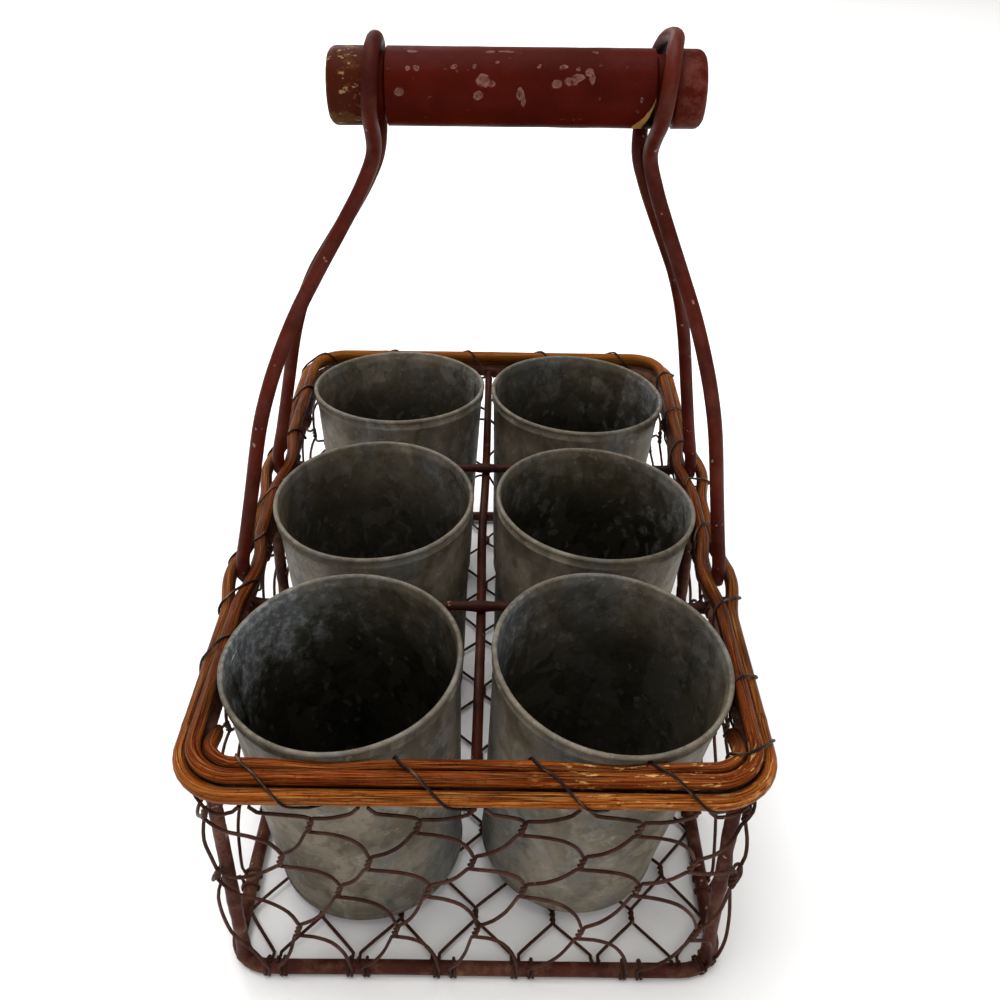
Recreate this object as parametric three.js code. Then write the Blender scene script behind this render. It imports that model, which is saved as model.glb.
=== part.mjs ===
// A wire caddy for six small zinc herb pots: a painted steel rod frame clad in
// hexagonal wire netting, a rim of rattan canes laced on with thin wire, and a
// turned wooden grip held by two hairpin wires. Millimetres, +Z up, front at -Y.
import * as THREE from 'three';

// Pots
const POT_RIM_DIAMETER = 77;
const POT_BASE_DIAMETER = 62;
const POT_HEIGHT = 98;
const POT_WALL = 0.8;
const POT_BEAD = 1.8;
const POT_FLOOR_RAISE = 2.4;
const POT_SIDES = 24;
const GAP_ACROSS = 6.5;
const GAP_ALONG = 10;

// How each pot has come to stand: its mouth's shift to the right and to the rear in its cell,
// and its lean to the front and tip to the right in degrees
const POT_STANCE = [
  { name: 'pot_front_left', across: -1, along: -1, aside: -1.2, back: -3.7, lean: 5, tip: -2.2 },
  { name: 'pot_front_right', across: 1, along: -1, aside: 1.2, back: -3.9, lean: 6, tip: 6 },
  { name: 'pot_middle_left', across: -1, along: 0, aside: -0.3, back: 1.3, lean: 2.9, tip: -0.6 },
  { name: 'pot_middle_right', across: 1, along: 0, aside: 1.6, back: -0.7, lean: 0, tip: 4.6 },
  { name: 'pot_rear_left', across: -1, along: 1, aside: 2.2, back: 5.6, lean: -3.6, tip: 0.2 },
  { name: 'pot_rear_right', across: 1, along: 1, aside: -1.2, back: 0.3, lean: -1.4, tip: 3 },
];

// Rod frame
const ROD = 5.5;
const RING_CORNER = 12;
const CORNER_STEPS = 5;
const POT_TO_RING_ACROSS = 0.75;
const POT_TO_RING_ALONG = 6.5;
const POT_STANDS_PROUD = 12.1;
const TOP_RING_FLARE = 2;
const POST = 4.5;
const POST_SIDES = 10;
const DIVIDER_ROD = 3.5;
const DIVIDER_DROP = 1.2;
const DIVIDER_RISE_RUN = 20;
const DIVIDER_STEPS = 24;
const DIVIDER_SIDES = 8;
const CROSS_DIVIDER_AT = 46;
const GAP = 0.3;

// Netting
const NET_WIRE = 1.3;
const NET_TWIST_WIDTH = 2.2;
const NET_TWIST_LENGTH = 7;
const NET_COLUMN = 34;
const NET_ROW = 19;
const NET_SELVAGE = 1.8;
const NET_CLEARANCE = 0.35;
const NET_FLOOR_CLEARANCE = 0.6;
const NET_CORNER_INSET = 3;
const NET_CORNER = 2;
const NET_SELVAGE_STAGGER = 0.3;
const NET_SELVAGE_DRIFT = 0.03;
const SMALLEST_NET_GAP = 20;

// Rim canes and their lacing
const CANE = 4.8;
const OUTER_CANE_OUT = 4.1;
const OUTER_CANE_UP = 4.1;
const INNER_CANE_OUT = -0.1;
const INNER_CANE_UP = 7.4;
const FRONT_CANE_OUT = -4.4;
const FRONT_CANE_UP = 3.9;
const FRONT_CANE_RETURN = 10;
const BOW_HALF_LENGTH = 24;
const CANE_STEPS = 72;
const CANE_SIDES = 7;
const LACE_WIRE = 1.1;
const LACE_CLEARANCE = 0.35;
const LACE_PAST_CANE = 1.5;
const LACE_END_GAP = 4;
const LACE_FRONT_TOPS = [0.83, 0.36, -0.2, -0.84];
const LACE_INNER_RUN = 8;
const LACE_OUTER_RUN = 15;
const LACE_STEPS = 12;
const LACE_SIDES = 5;

// Handle
const HANDLE_ROD = 4.9;
const GRIP_DIAMETER = 23;
const GRIP_LENGTH = 113;
const GRIP_EDGE = 2.5;
const GRIP_GROOVE_DEPTH = 1.6;
const GRIP_GROOVE_WIDTH = 6.4;
const GRIP_HEIGHT = 165.5;
const GRIP_SIDES = 24;
const GRIP_SHIFT = 10;
const LOOP_NECK_DROP = 19;
const STRAND_GAP = 0.7;
const LEG_AT = 36;
const LEG_OUT = 2.2;
const LEG_STRAIGHT = 10.5;
const WIRE_STEPS = 36;
const WIRE_SIDES = 7;

// Each hairpin wire: where its loop tops the grip and its neck hangs below, the clear space
// inside the loop, and how far its front strand stands to the right of the middle of the two.
// The left loop sits down in its groove of the grip and the right one stands loose over its own
const HAIRPINS = [
  { name: 'handle_wire_left', side: -1, crown: -31.8, neck: -32.5, bore: 22, skew: -1.2 },
  { name: 'handle_wire_right', side: 1, crown: 57.5, neck: 51, bore: 25.4, skew: 1.5 },
];
const GRIP_GROOVES = [-32.2, 54.9];

// The way a hairpin strand runs from its neck to its leg: how far it has fallen,
// gone outward and opened away from its twin, each from 0 at the neck to 1 at the leg
const HAIRPIN_SWEEP = [
  { fall: 0.08, outward: 0.082, apart: 0.02 },
  { fall: 0.177, outward: 0.231, apart: 0.11 },
  { fall: 0.265, outward: 0.375, apart: 0.27 },
  { fall: 0.353, outward: 0.512, apart: 0.5 },
  { fall: 0.441, outward: 0.622, apart: 0.7 },
  { fall: 0.522, outward: 0.703, apart: 0.85 },
  { fall: 0.618, outward: 0.776, apart: 0.94 },
  { fall: 0.78, outward: 0.868, apart: 0.985 },
  { fall: 0.9, outward: 0.938, apart: 1 },
];

// Finishes
const paintedSteel = { color: 0x4a2420, roughness: 0.55, metalness: 0.2 };
const nettingSteel = { color: 0x46291f, roughness: 0.6, metalness: 0.2 };
const lacingSteel = { color: 0x231712, roughness: 0.5, metalness: 0.4 };
const rattan = { color: 0x8a5424, roughness: 0.55, metalness: 0 };
const agedZinc = { color: 0x6d716c, roughness: 0.6, metalness: 0.5 };
const paintedWood = { color: 0x4f1b17, roughness: 0.45, metalness: 0 };

// Places worked out from the sizes above
const potX = (POT_RIM_DIAMETER + GAP_ACROSS) / 2;
const potPitch = POT_RIM_DIAMETER + GAP_ALONG;
const ringX = potX + POT_RIM_DIAMETER / 2 + POT_TO_RING_ACROSS;
const ringY = potPitch + POT_RIM_DIAMETER / 2 + POT_TO_RING_ALONG;
const floorNetZ = ROD / 2;
const potSeat = floorNetZ + NET_WIRE / 2 + GAP;
const topRingZ = potSeat + POT_HEIGHT - POT_STANDS_PROUD;
const crossDividerZ = topRingZ - DIVIDER_DROP;
const longDividerZ = crossDividerZ - DIVIDER_ROD - GAP;
const topRingX = ringX + TOP_RING_FLARE;
const topRingY = ringY + TOP_RING_FLARE;
const topRingCorner = RING_CORNER + TOP_RING_FLARE;
const netTop = topRingZ - ROD / 2 - LACE_CLEARANCE - LACE_WIRE - NET_CLEARANCE;
const gripZ = topRingZ + GRIP_HEIGHT;

const caddy = new THREE.Group();

// Adds one named piece to the caddy, or to a group inside it
function addPiece(name, geometry, finish, parent = caddy) {
  const piece = new THREE.Mesh(geometry, new THREE.MeshStandardMaterial(finish));
  piece.name = name;
  parent.add(piece);
  return piece;
}

// A regular polygon that stands for the round section of a rod
function roundSection(diameter, sides) {
  const section = new THREE.Shape();
  for (let i = 0; i < sides; i += 1) {
    const angle = (2 * Math.PI * (i + 0.5)) / sides;
    const x = (Math.cos(angle) * diameter) / 2;
    const y = (Math.sin(angle) * diameter) / 2;
    if (i === 0) section.moveTo(x, y);
    else section.lineTo(x, y);
  }
  section.closePath();
  return section;
}

// A rod or wire bent along an open run of points, cut in even lengths or from bend to bend
function bentRod(points, diameter, sides, steps, bendToBend = false) {
  const route = new THREE.CatmullRomCurve3(points, false, 'centripetal');
  if (bendToBend) route.getUtoTmapping = (share) => share;
  return new THREE.ExtrudeGeometry(roundSection(diameter, sides), {
    steps,
    bevelEnabled: false,
    extrudePath: route,
  });
}

// A rounded rectangle in plan, walked from the middle of the right side to the front
function roundedLine(halfX, halfY, corner) {
  const line = new THREE.CurvePath();
  const middle = new THREE.Vector2(halfX, 0);
  let last = middle;
  for (const [x, y, turn] of [[1, -1, 0], [-1, -1, -0.5], [-1, 1, -1], [1, 1, -1.5]]) {
    const centre = new THREE.Vector2(x * (halfX - corner), y * (halfY - corner));
    const start = turn * Math.PI;
    const arc = new THREE.EllipseCurve(centre.x, centre.y, corner, corner, start, start - Math.PI / 2, true);
    line.add(new THREE.LineCurve(last, arc.getPoint(0)));
    line.add(arc);
    last = arc.getPoint(1);
  }
  line.add(new THREE.LineCurve(last, middle));
  return line;
}

// The same outline as a run of corner points, for the edge of a flat shape
function roundedOutline(halfX, halfY, corner) {
  const points = [];
  for (const [x, y, turn] of [[1, -1, 0], [-1, -1, -0.5], [-1, 1, -1], [1, 1, -1.5]]) {
    for (let i = 0; i <= CORNER_STEPS; i += 1) {
      const angle = (turn - i / CORNER_STEPS / 2) * Math.PI;
      const px = x * (halfX - corner) + corner * Math.cos(angle);
      const py = y * (halfY - corner) + corner * Math.sin(angle);
      points.push(new THREE.Vector2(px, py));
    }
  }
  return points;
}

const ringLine = roundedLine(topRingX, topRingY, topRingCorner);
const ringLength = ringLine.getLength();

// The place on the top ring's centre line at a distance along it, moved outward, at a height
function besideRing(distance, outward, height) {
  const share = (((distance % ringLength) + ringLength) % ringLength) / ringLength;
  const place = ringLine.getPointAt(share);
  const along = ringLine.getTangentAt(share);
  return new THREE.Vector3(place.x - along.y * outward, place.y + along.x * outward, height);
}

// Distances along the ring of the four handle legs and the middle of the front
const sideRun = topRingY - topRingCorner;
const cornerRun = (Math.PI / 2) * topRingCorner;
const endRun = topRingX - topRingCorner;
const frontMiddle = sideRun + cornerRun + endRun;
const legMarks = {
  right_front: LEG_AT,
  left_front: 2 * frontMiddle - LEG_AT,
  left_rear: 2 * frontMiddle + LEG_AT,
  right_rear: ringLength - LEG_AT,
};

// Base ring and top ring: octagonal rod bent to a rounded rectangle, flat underneath
function rodRing(halfX, halfY, corner) {
  const flat = ROD * Math.tan(Math.PI / 8);
  const chamfer = (ROD - flat) / 2;
  const half = flat / 2;
  const ring = new THREE.Shape(roundedOutline(halfX + half, halfY + half, corner + half));
  const hollow = roundedOutline(halfX - half, halfY - half, corner - half);
  ring.holes.push(new THREE.Path(hollow.reverse()));
  const rod = new THREE.ExtrudeGeometry(ring, {
    depth: flat,
    bevelThickness: chamfer,
    bevelSize: chamfer,
    bevelSegments: 1,
  });
  return rod.translate(0, 0, -half);
}

const baseRing = rodRing(ringX, ringY, RING_CORNER);
addPiece('base_ring', baseRing, paintedSteel).position.z = ROD / 2;
const topRing = rodRing(topRingX, topRingY, topRingCorner);
addPiece('top_ring', topRing, paintedSteel).position.z = topRingZ;

// Posts: straight rods welded between the two rings, at the corners and mid-sides
const postBottom = ROD + GAP;
const postTop = topRingZ - ROD / 2 - GAP;
const cornerPostX = ringX - RING_CORNER * (1 - Math.SQRT1_2);
const cornerPostY = ringY - RING_CORNER * (1 - Math.SQRT1_2);
const posts = [
  { name: 'post_front_left', x: -cornerPostX, y: -cornerPostY },
  { name: 'post_front_right', x: cornerPostX, y: -cornerPostY },
  { name: 'post_middle_left', x: -ringX, y: 0 },
  { name: 'post_middle_right', x: ringX, y: 0 },
  { name: 'post_rear_left', x: -cornerPostX, y: cornerPostY },
  { name: 'post_rear_right', x: cornerPostX, y: cornerPostY },
];
for (const post of posts) {
  const rod = new THREE.CylinderGeometry(POST / 2, POST / 2, postTop - postBottom, POST_SIDES);
  rod.rotateX(Math.PI / 2);
  addPiece(post.name, rod, paintedSteel).position.set(post.x, post.y, (postBottom + postTop) / 2);
}

// Divider grid: one long rod whose ends turn up to the top ring, two cross rods laid on it
const dividerEndY = topRingY - ROD / 2 - GAP;
const longDivider = [
  new THREE.Vector3(0, -dividerEndY, topRingZ),
  new THREE.Vector3(0, -dividerEndY + DIVIDER_ROD, topRingZ),
  new THREE.Vector3(0, -dividerEndY + DIVIDER_RISE_RUN / 2, (topRingZ + longDividerZ) / 2),
  new THREE.Vector3(0, -dividerEndY + DIVIDER_RISE_RUN, longDividerZ),
  new THREE.Vector3(0, -CROSS_DIVIDER_AT, longDividerZ),
  new THREE.Vector3(0, CROSS_DIVIDER_AT, longDividerZ),
  new THREE.Vector3(0, dividerEndY - DIVIDER_RISE_RUN, longDividerZ),
  new THREE.Vector3(0, dividerEndY - DIVIDER_RISE_RUN / 2, (topRingZ + longDividerZ) / 2),
  new THREE.Vector3(0, dividerEndY - DIVIDER_ROD, topRingZ),
  new THREE.Vector3(0, dividerEndY, topRingZ),
];
addPiece('divider_long', bentRod(longDivider, DIVIDER_ROD, DIVIDER_SIDES, DIVIDER_STEPS), paintedSteel);
const crossDividerLength = 2 * (topRingX - ROD / 2 - GAP);
const crossDividers = [
  { name: 'divider_front', y: -CROSS_DIVIDER_AT },
  { name: 'divider_rear', y: CROSS_DIVIDER_AT },
];
for (const divider of crossDividers) {
  const radius = DIVIDER_ROD / 2;
  const rod = new THREE.CylinderGeometry(radius, radius, crossDividerLength, DIVIDER_SIDES);
  rod.rotateZ(Math.PI / 2);
  addPiece(divider.name, rod, paintedSteel).position.set(0, divider.y, crossDividerZ);
}

// Keeps the part of a convex outline that lies within a limit along one direction
function cutOutline(outline, direction, limit) {
  const kept = [];
  outline.forEach((point, i) => {
    const next = outline[(i + 1) % outline.length];
    const here = point.dot(direction) - limit;
    const there = next.dot(direction) - limit;
    if (here <= 0) kept.push(point);
    if (here * there < 0) kept.push(point.clone().lerp(next, here / (here - there)));
  });
  return kept;
}

// One gap of the netting, between two twisted joints and four single wires
function netGap(x, y) {
  const halfTwist = NET_TWIST_LENGTH / 2;
  const halfColumn = NET_COLUMN / 2;
  const peak = NET_ROW - halfTwist;
  const slope = (peak - halfTwist) / halfColumn;
  const inset = (NET_WIRE / 2) * Math.hypot(1, slope);
  const sideX = halfColumn - NET_TWIST_WIDTH / 2;
  const sideY = peak - inset - slope * sideX;
  return [
    new THREE.Vector2(x, y - peak + inset),
    new THREE.Vector2(x + sideX, y - sideY),
    new THREE.Vector2(x + sideX, y + sideY),
    new THREE.Vector2(x, y + peak - inset),
    new THREE.Vector2(x - sideX, y + sideY),
    new THREE.Vector2(x - sideX, y - sideY),
  ];
}

// A flat sheet of netting with rounded corners, centred on X and Y, rows counted from below
function netSheet(halfX, halfY, corner) {
  const sheet = new THREE.Shape(roundedOutline(halfX, halfY, corner).reverse());
  const rows = Math.ceil((2 * halfY) / NET_ROW) + 1;
  const columns = Math.ceil(halfX / NET_COLUMN) + 1;
  const toCorner = (halfX + halfY - 2 * corner) * Math.SQRT1_2 + corner;
  for (let row = 0; row <= rows; row += 1) {
    const odd = row % 2;
    for (let column = -columns; column <= columns; column += 1) {
      const selvage = NET_SELVAGE + odd * NET_SELVAGE_STAGGER + column * NET_SELVAGE_DRIFT;
      let gap = netGap((column + odd / 2) * NET_COLUMN, row * NET_ROW - halfY);
      for (const sign of [-1, 1]) {
        gap = cutOutline(gap, new THREE.Vector2(sign, 0), halfX - selvage);
        gap = cutOutline(gap, new THREE.Vector2(0, sign), halfY - selvage);
        gap = cutOutline(gap, new THREE.Vector2(sign, 1).normalize(), toCorner - selvage);
        gap = cutOutline(gap, new THREE.Vector2(sign, -1).normalize(), toCorner - selvage);
      }
      if (gap.length < 3 || Math.abs(THREE.ShapeUtils.area(gap)) < SMALLEST_NET_GAP) continue;
      sheet.holes.push(new THREE.Path(gap));
    }
  }
  return new THREE.ExtrudeGeometry(sheet, { depth: NET_WIRE, bevelEnabled: false });
}

// Netting on the four sides stands just outside the rods, and on the floor inside the base ring
const netOut = ROD / 2 + NET_CLEARANCE;
const netHalfHeight = (netTop - NET_FLOOR_CLEARANCE) / 2;
const endNetHalf = ringX - NET_CORNER_INSET;
const sideNetHalf = ringY - NET_CORNER_INSET;
const sideNets = [
  { name: 'net_front', half: endNetHalf, turn: 0, x: 0, y: -ringY - netOut },
  { name: 'net_right', half: sideNetHalf, turn: Math.PI / 2, x: ringX + netOut, y: 0 },
  { name: 'net_rear', half: endNetHalf, turn: Math.PI, x: 0, y: ringY + netOut },
  { name: 'net_left', half: sideNetHalf, turn: -Math.PI / 2, x: -ringX - netOut, y: 0 },
];
for (const net of sideNets) {
  const sheet = netSheet(net.half, netHalfHeight, NET_CORNER);
  sheet.rotateX(Math.PI / 2);
  sheet.rotateZ(net.turn);
  const middleZ = NET_FLOOR_CLEARANCE + netHalfHeight;
  addPiece(net.name, sheet, nettingSteel).position.set(net.x, net.y, middleZ);
}
const floorNetX = ringX - ROD / 2 - NET_CLEARANCE;
const floorNetY = ringY - ROD / 2 - NET_CLEARANCE;
const floorNet = netSheet(floorNetX, floorNetY, RING_CORNER - ROD / 2 - NET_CLEARANCE);
addPiece('net_floor', floorNet, nettingSteel).position.z = floorNetZ - NET_WIRE / 2;

// How much of a bow a cane has at a distance along the ring: 1 at a handle leg, 0 away from it
function bowAt(distance) {
  let bow = 0;
  for (const mark of Object.values(legMarks)) {
    const apart = Math.abs(distance - mark);
    const away = Math.min(apart, ringLength - apart);
    if (away < BOW_HALF_LENGTH) bow = Math.max(bow, Math.cos((Math.PI * away) / (2 * BOW_HALF_LENGTH)) ** 2);
  }
  return bow;
}

// Rim canes: two full hoops that part round the handle legs
const caneToLeg = HANDLE_ROD / 2 + GAP + CANE / 2;
const outerBow = LEG_OUT + caneToLeg - OUTER_CANE_OUT;
const innerBow = LEG_OUT - caneToLeg - INNER_CANE_OUT;
const hoops = [
  { name: 'rim_cane_outer', out: OUTER_CANE_OUT, up: OUTER_CANE_UP, bow: outerBow },
  { name: 'rim_cane_inner', out: INNER_CANE_OUT, up: INNER_CANE_UP, bow: innerBow },
];
for (const hoop of hoops) {
  const points = [];
  for (let i = 0; i < CANE_STEPS * 2; i += 1) {
    const distance = (ringLength * i) / (CANE_STEPS * 2);
    points.push(besideRing(distance, hoop.out + hoop.bow * bowAt(distance), topRingZ + hoop.up));
  }
  const line = new THREE.CatmullRomCurve3(points, true, 'centripetal');
  addPiece(hoop.name, new THREE.TubeGeometry(line, CANE_STEPS, CANE / 2, CANE_SIDES, true), rattan);
}

// A third cane lies inside the front of the rim and turns a little way along each side
const frontCaneStart = sideRun - FRONT_CANE_RETURN;
const frontCaneEnd = 2 * frontMiddle - frontCaneStart;
const frontCane = [];
for (let i = 0; i <= CANE_STEPS; i += 1) {
  const distance = frontCaneStart + ((frontCaneEnd - frontCaneStart) * i) / CANE_STEPS;
  frontCane.push(besideRing(distance, FRONT_CANE_OUT, topRingZ + FRONT_CANE_UP));
}
addPiece('rim_cane_front', bentRod(frontCane, CANE, CANE_SIDES, CANE_STEPS / 2), rattan);

// Lacing: one wire wound round ring and canes. It passes under the rim at each handle leg
// and outside it beside each pot. Along the front it tops the rim at given shares of the
// straight run and soon dives behind it, clear of the pots that lean there. Turns made by
// each mark, from the right front leg round to it
const laceMarks = [
  { distance: legMarks.right_front, turns: 0 },
  { distance: potPitch, turns: 1.25 },
  ...LACE_FRONT_TOPS.flatMap((share, i) => [
    { distance: frontMiddle - share * endRun, turns: i + 2.5 },
    { distance: frontMiddle - share * endRun + LACE_INNER_RUN, turns: i + 3 },
  ]),
  { distance: 2 * frontMiddle - potPitch - LACE_OUTER_RUN, turns: 8 },
  { distance: 2 * frontMiddle - potPitch, turns: 8.25 },
  { distance: legMarks.left_front, turns: 10 },
  { distance: 2 * frontMiddle, turns: 11.25 },
  { distance: legMarks.left_rear, turns: 12 },
  { distance: 2 * frontMiddle + potPitch, turns: 13.25 },
  { distance: ringLength - potPitch, turns: 19.25 },
  { distance: legMarks.right_rear, turns: 21 },
  { distance: ringLength, turns: 22.25 },
  { distance: legMarks.right_front + ringLength - LACE_END_GAP, turns: 23 },
];

function laceDistance(turns) {
  const next = Math.max(laceMarks.findIndex((mark) => mark.turns >= turns), 1);
  const to = laceMarks[next];
  const from = laceMarks[next - 1];
  const share = (turns - from.turns) / (to.turns - from.turns);
  return from.distance + (to.distance - from.distance) * share;
}

// How far out the lacing must stand in one direction to clear the ring and every cane there
function laceReach(distance, angle) {
  const onRing = distance % ringLength;
  const bow = bowAt(onRing);
  const rods = [
    { out: 0, up: 0, radius: ROD / 2 },
    { out: OUTER_CANE_OUT + outerBow * bow, up: OUTER_CANE_UP, radius: CANE / 2 },
    { out: INNER_CANE_OUT + innerBow * bow, up: INNER_CANE_UP, radius: CANE / 2 },
  ];
  if (onRing > frontCaneStart - LACE_PAST_CANE && onRing < frontCaneEnd + LACE_PAST_CANE) {
    rods.push({ out: FRONT_CANE_OUT, up: FRONT_CANE_UP, radius: CANE / 2 });
  }
  const reaches = rods.map((rod) => rod.out * Math.cos(angle) + rod.up * Math.sin(angle) + rod.radius);
  return Math.max(...reaches) + LACE_CLEARANCE + LACE_WIRE / 2;
}

// Each bend of the lacing is the corner between two straight runs that just clear the rods
function lacePoint(turns) {
  const distance = laceDistance(turns);
  const halfStep = Math.PI / LACE_STEPS;
  const before = 2 * Math.PI * turns - Math.PI / 2 - halfStep;
  const after = before + 2 * halfStep;
  const near = laceReach(distance, before);
  const far = laceReach(distance, after);
  const spread = Math.sin(after - before);
  const outward = (near * Math.sin(after) - far * Math.sin(before)) / spread;
  const upward = (far * Math.cos(before) - near * Math.cos(after)) / spread;
  return besideRing(distance, outward, topRingZ + upward);
}

const laceBends = laceMarks.at(-1).turns * LACE_STEPS;
const lacePoints = [];
for (let i = 0; i <= laceBends; i += 1) {
  lacePoints.push(lacePoint(i / LACE_STEPS));
}
addPiece('rim_lacing', bentRod(lacePoints, LACE_WIRE, LACE_SIDES, laceBends, true), lacingSteel);

// The least clear gap between one turn of the lacing and another
let laceGap = Infinity;
lacePoints.forEach((point, i) => {
  for (let j = i + LACE_STEPS / 2; j < lacePoints.length; j += 1) {
    laceGap = Math.min(laceGap, point.distanceTo(lacePoints[j]) - LACE_WIRE);
  }
});
console.log(`rim lacing: least gap to itself ${laceGap.toFixed(2)} mm`);

// Hairpin handle wires: a loop over the grip, a neck under it, and two legs that open out
// to the top ring. Each strand is a run of points from beside the crown of the loop to its leg
function hairpinStrand({ side, crown, neck, bore, skew }, front) {
  const radius = (bore + HANDLE_ROD) / 2;
  const neckZ = gripZ - LOOP_NECK_DROP;
  const neckY = (HANDLE_ROD + STRAND_GAP) / 2;
  const legX = side * (topRingX + LEG_OUT);
  const legTop = topRingZ + LEG_STRAIGHT;
  const points = [];
  for (const degrees of [30, 60, 90, 115]) {
    const angle = (degrees * Math.PI) / 180;
    points.push(new THREE.Vector3(
      crown + (neck - crown + front * skew) * (degrees / 150),
      -front * radius * Math.sin(angle),
      gripZ + radius * Math.cos(angle),
    ));
  }
  points.push(new THREE.Vector3(neck + front * skew, -front * neckY, neckZ));
  for (const { fall, outward, apart } of HAIRPIN_SWEEP) {
    points.push(new THREE.Vector3(
      neck + (legX - neck) * outward + front * skew * (1 - fall),
      -front * (neckY + (LEG_AT - neckY) * apart),
      neckZ + (legTop - neckZ) * fall,
    ));
  }
  points.push(new THREE.Vector3(legX, -front * LEG_AT, legTop));
  points.push(new THREE.Vector3(legX, -front * LEG_AT, topRingZ + ROD / 2 + GAP));
  return points;
}

for (const hairpin of HAIRPINS) {
  const crown = new THREE.Vector3(hairpin.crown, 0, gripZ + (hairpin.bore + HANDLE_ROD) / 2);
  const route = [...hairpinStrand(hairpin, 1).reverse(), crown, ...hairpinStrand(hairpin, -1)];
  addPiece(hairpin.name, bentRod(route, HANDLE_ROD, WIRE_SIDES, WIRE_STEPS * 2), paintedSteel);
}

// Grip: a turned dowel with rounded ends and a groove for each wire loop
const gripRadius = GRIP_DIAMETER / 2;
const gripEnd = GRIP_LENGTH / 2;
const gripProfile = new THREE.Path();
gripProfile.moveTo(0, -gripEnd);
gripProfile.lineTo(gripRadius - GRIP_EDGE, -gripEnd);
gripProfile.absarc(gripRadius - GRIP_EDGE, -gripEnd + GRIP_EDGE, GRIP_EDGE, -Math.PI / 2, 0, false);
const grooveRadius = gripRadius - GRIP_GROOVE_DEPTH;
for (const groove of GRIP_GROOVES) {
  const middle = groove - GRIP_SHIFT;
  const mouth = GRIP_GROOVE_WIDTH / 2;
  const floor = mouth - GRIP_GROOVE_DEPTH / 2;
  gripProfile.lineTo(gripRadius, middle - mouth);
  gripProfile.lineTo(grooveRadius, middle - floor);
  gripProfile.lineTo(grooveRadius, middle + floor);
  gripProfile.lineTo(gripRadius, middle + mouth);
}
gripProfile.lineTo(gripRadius, gripEnd - GRIP_EDGE);
gripProfile.absarc(gripRadius - GRIP_EDGE, gripEnd - GRIP_EDGE, GRIP_EDGE, 0, Math.PI / 2, false);
gripProfile.lineTo(0, gripEnd);
const grip = new THREE.LatheGeometry(gripProfile.getPoints(2), GRIP_SIDES);
grip.rotateZ(-Math.PI / 2);
addPiece('handle_grip', grip, paintedWood).position.set(GRIP_SHIFT, 0, gripZ);

// Pots: a tapered zinc wall with a rolled rim, and a floor pan set a little way up inside it
const rimRadius = POT_RIM_DIAMETER / 2;
const baseRadius = POT_BASE_DIAMETER / 2;
const wallTopRadius = rimRadius - POT_BEAD + POT_WALL;

function potWall() {
  const bead = POT_BEAD / 2;
  const profile = [new THREE.Vector2(baseRadius, 0)];
  profile.push(new THREE.Vector2(wallTopRadius, POT_HEIGHT - POT_BEAD));
  for (const degrees of [-30, 30, 90, 150]) {
    const angle = (degrees * Math.PI) / 180;
    const r = rimRadius - bead + bead * Math.cos(angle);
    profile.push(new THREE.Vector2(r, POT_HEIGHT - bead + bead * Math.sin(angle)));
  }
  profile.push(new THREE.Vector2(rimRadius - POT_BEAD, POT_HEIGHT - POT_BEAD));
  profile.push(new THREE.Vector2(baseRadius - POT_WALL, 0));
  profile.push(profile[0].clone());
  return new THREE.LatheGeometry(profile, POT_SIDES).rotateX(Math.PI / 2);
}

function potFloor() {
  const taper = (wallTopRadius - baseRadius) / (POT_HEIGHT - POT_BEAD);
  const edge = baseRadius - POT_WALL - GAP + taper * POT_FLOOR_RAISE;
  const profile = [
    new THREE.Vector2(0, POT_FLOOR_RAISE),
    new THREE.Vector2(edge, POT_FLOOR_RAISE),
    new THREE.Vector2(edge + taper * POT_WALL, POT_FLOOR_RAISE + POT_WALL),
    new THREE.Vector2(0, POT_FLOOR_RAISE + POT_WALL),
  ];
  return new THREE.LatheGeometry(profile, POT_SIDES).rotateX(Math.PI / 2);
}

// A pot that leans stands on the lower edge of its base
for (const pot of POT_STANCE) {
  const place = new THREE.Group();
  place.rotation.set(THREE.MathUtils.degToRad(pot.lean), THREE.MathUtils.degToRad(pot.tip), 0);
  const axis = new THREE.Vector3(0, 0, 1).applyEuler(place.rotation);
  place.position.x = pot.across * potX + pot.aside - POT_HEIGHT * axis.x;
  place.position.y = pot.along * potPitch + pot.back - POT_HEIGHT * axis.y;
  place.position.z = potSeat + baseRadius * Math.hypot(axis.x, axis.y);
  caddy.add(place);
  addPiece(pot.name, potWall(), agedZinc, place);
  addPiece(`${pot.name}_floor`, potFloor(), agedZinc, place);
}

export default caddy;
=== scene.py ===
import math

import bmesh
import bpy
from mathutils import Matrix, Vector, noise


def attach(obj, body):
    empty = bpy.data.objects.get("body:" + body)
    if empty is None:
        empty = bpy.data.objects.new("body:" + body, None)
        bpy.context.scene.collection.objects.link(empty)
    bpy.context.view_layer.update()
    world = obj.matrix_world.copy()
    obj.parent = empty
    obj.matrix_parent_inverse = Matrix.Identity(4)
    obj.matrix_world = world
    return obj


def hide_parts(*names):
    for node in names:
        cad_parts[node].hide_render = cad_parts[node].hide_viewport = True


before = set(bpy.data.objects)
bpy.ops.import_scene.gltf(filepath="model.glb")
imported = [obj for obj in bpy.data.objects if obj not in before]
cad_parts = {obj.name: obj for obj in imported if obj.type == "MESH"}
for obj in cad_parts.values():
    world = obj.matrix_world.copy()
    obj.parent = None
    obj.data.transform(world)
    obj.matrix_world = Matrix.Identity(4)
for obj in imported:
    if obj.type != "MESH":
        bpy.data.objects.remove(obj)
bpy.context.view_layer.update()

# Base ring: one length of mild steel rod bent to a rounded rectangle and welded shut, then dipped in
# red-brown paint. The caddy stands on it, so it is dusty and scuffed. All sizes are in millimetres,
# and each piece is brought to metres when it is finished.
MM = 0.001
BASE_HALF_X, BASE_HALF_Y, BASE_CORNER = 81.0, 132.0, 12.0
BASE_ROD, BASE_Z, BASE_WANDER = 4.9, 3.05, 0.5
RING_STEP, RING_SIDES = 2.5, 16
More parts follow.
